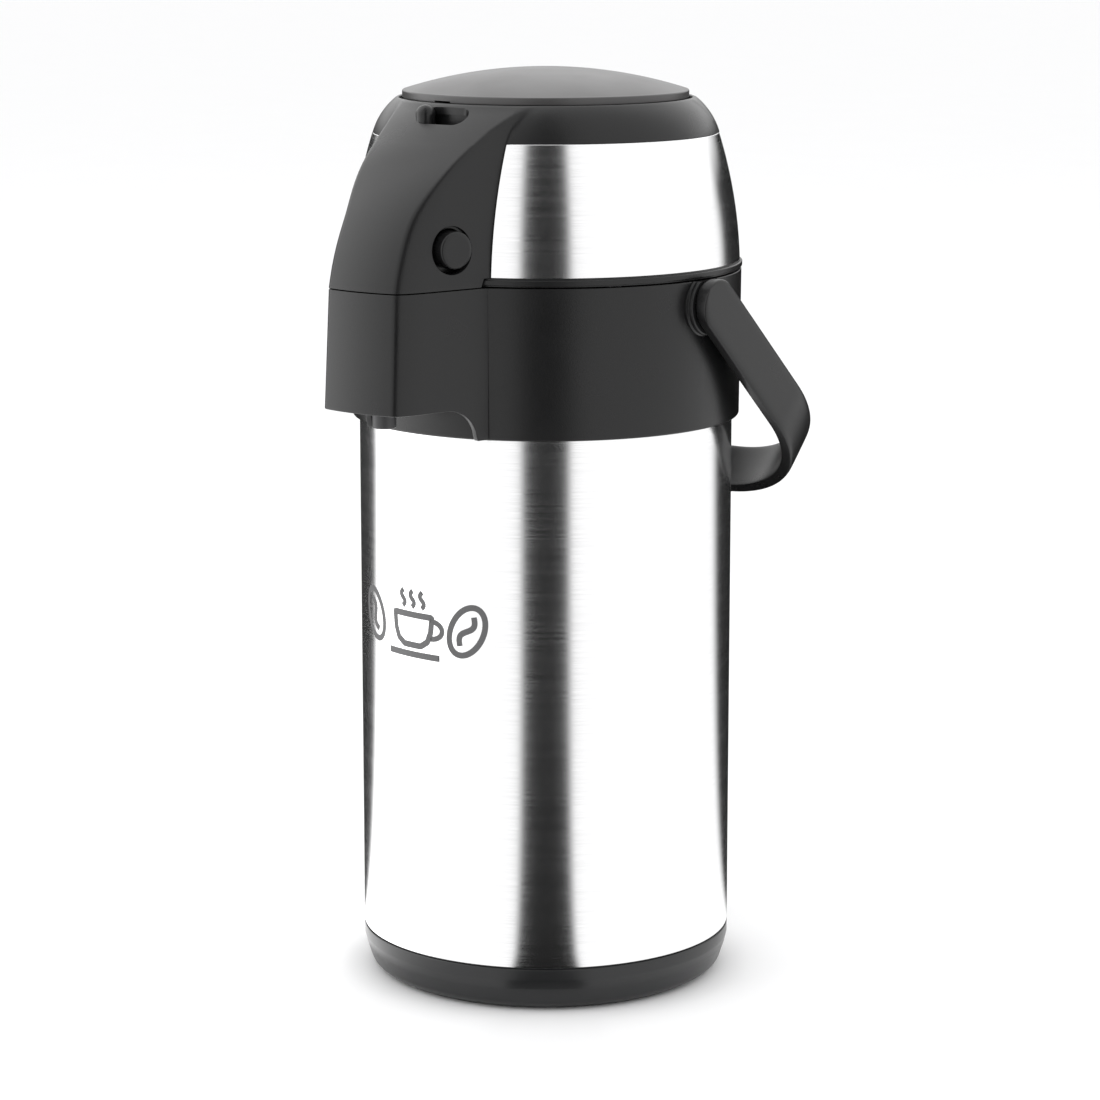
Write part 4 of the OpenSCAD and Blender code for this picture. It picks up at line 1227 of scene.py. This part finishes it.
class AIRPOT_OT_chin(bpy.types.Operator):
    """Build the spout's chin and the nozzle"""

    bl_idname = "airpot.chin"
    bl_label = "Chin and nozzle"

    def execute(self, context):
        shapes, finish = shapes_and_finish(context)
        make_chin(shapes, finish)
        make_nozzle(shapes, finish)
        return {"FINISHED"}


class AIRPOT_OT_bail(bpy.types.Operator):
    """Build the carrying bail"""

    bl_idname = "airpot.bail"
    bl_label = "Bail"

    def execute(self, context):
        make_bail(*shapes_and_finish(context))
        return {"FINISHED"}


class AIRPOT_OT_head(bpy.types.Operator):
    """Build the head's base, cover, band and rear cover"""

    bl_idname = "airpot.head"
    bl_label = "Pump head"

    def execute(self, context):
        shapes, finish = shapes_and_finish(context)
        make_head_base(shapes, finish)
        make_cover(shapes, finish)
        make_band(shapes, finish)
        make_rear_cover(shapes, finish)
        return {"FINISHED"}


class AIRPOT_OT_controls(bpy.types.Operator):
    """Build the press disc, the lock knob and the release buttons"""

    bl_idname = "airpot.controls"
    bl_label = "Disc, lock and buttons"

    def execute(self, context):
        shapes, finish = shapes_and_finish(context)
        make_disc(shapes, finish)
        make_lock(shapes, finish)
        make_buttons(shapes, finish)
        return {"FINISHED"}


class AIRPOT_OT_inner(bpy.types.Operator):
    """Give the inner parts their finishes"""

    bl_idname = "airpot.inner"
    bl_label = "Inner parts"

    def execute(self, context):
        finish_inner_parts(finishes())
        return {"FINISHED"}


class AIRPOT_OT_stage(bpy.types.Operator):
    """Set up the floor, the lights and the camera"""

    bl_idname = "airpot.stage"
    bl_label = "Stage"

    def execute(self, context):
        make_stage(context.scene.airpot_stage)
        return {"FINISHED"}


STEPS = ("flask", "print_mark", "base", "collar", "chin", "bail", "head", "controls", "inner", "stage")


class AIRPOT_PT_panel(bpy.types.Panel):
    """Airpot steps and settings"""

    bl_idname = "AIRPOT_PT_panel"
    bl_label = "Airpot"
    bl_space_type = "VIEW_3D"
    bl_region_type = "UI"
    bl_category = "Airpot"

    def draw(self, context):
        for step in STEPS:
            self.layout.operator(f"airpot.{step}")
        for group in (context.scene.airpot_shapes, context.scene.airpot_finish, context.scene.airpot_stage):
            for key in group.__annotations__:
                self.layout.prop(group, key)


CLASSES = (AirpotShapes, AirpotFinish, AirpotStage, AIRPOT_OT_flask, AIRPOT_OT_print, AIRPOT_OT_base,
           AIRPOT_OT_collar, AIRPOT_OT_chin, AIRPOT_OT_bail, AIRPOT_OT_head, AIRPOT_OT_controls,
           AIRPOT_OT_inner, AIRPOT_OT_stage, AIRPOT_PT_panel)


def register():
    for cls in CLASSES:
        bpy.utils.register_class(cls)
    bpy.types.Scene.airpot_shapes = PointerProperty(type=AirpotShapes)
    bpy.types.Scene.airpot_finish = PointerProperty(type=AirpotFinish)
    bpy.types.Scene.airpot_stage = PointerProperty(type=AirpotStage)


def unregister():
    for name in ("airpot_shapes", "airpot_finish", "airpot_stage"):
        delattr(bpy.types.Scene, name)
    for cls in reversed(CLASSES):
        bpy.utils.unregister_class(cls)


def main():
    """Registers the add-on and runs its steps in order."""
    register()
    for step in STEPS:
        getattr(bpy.ops.airpot, step)()


if __name__ == "__main__":
    main()
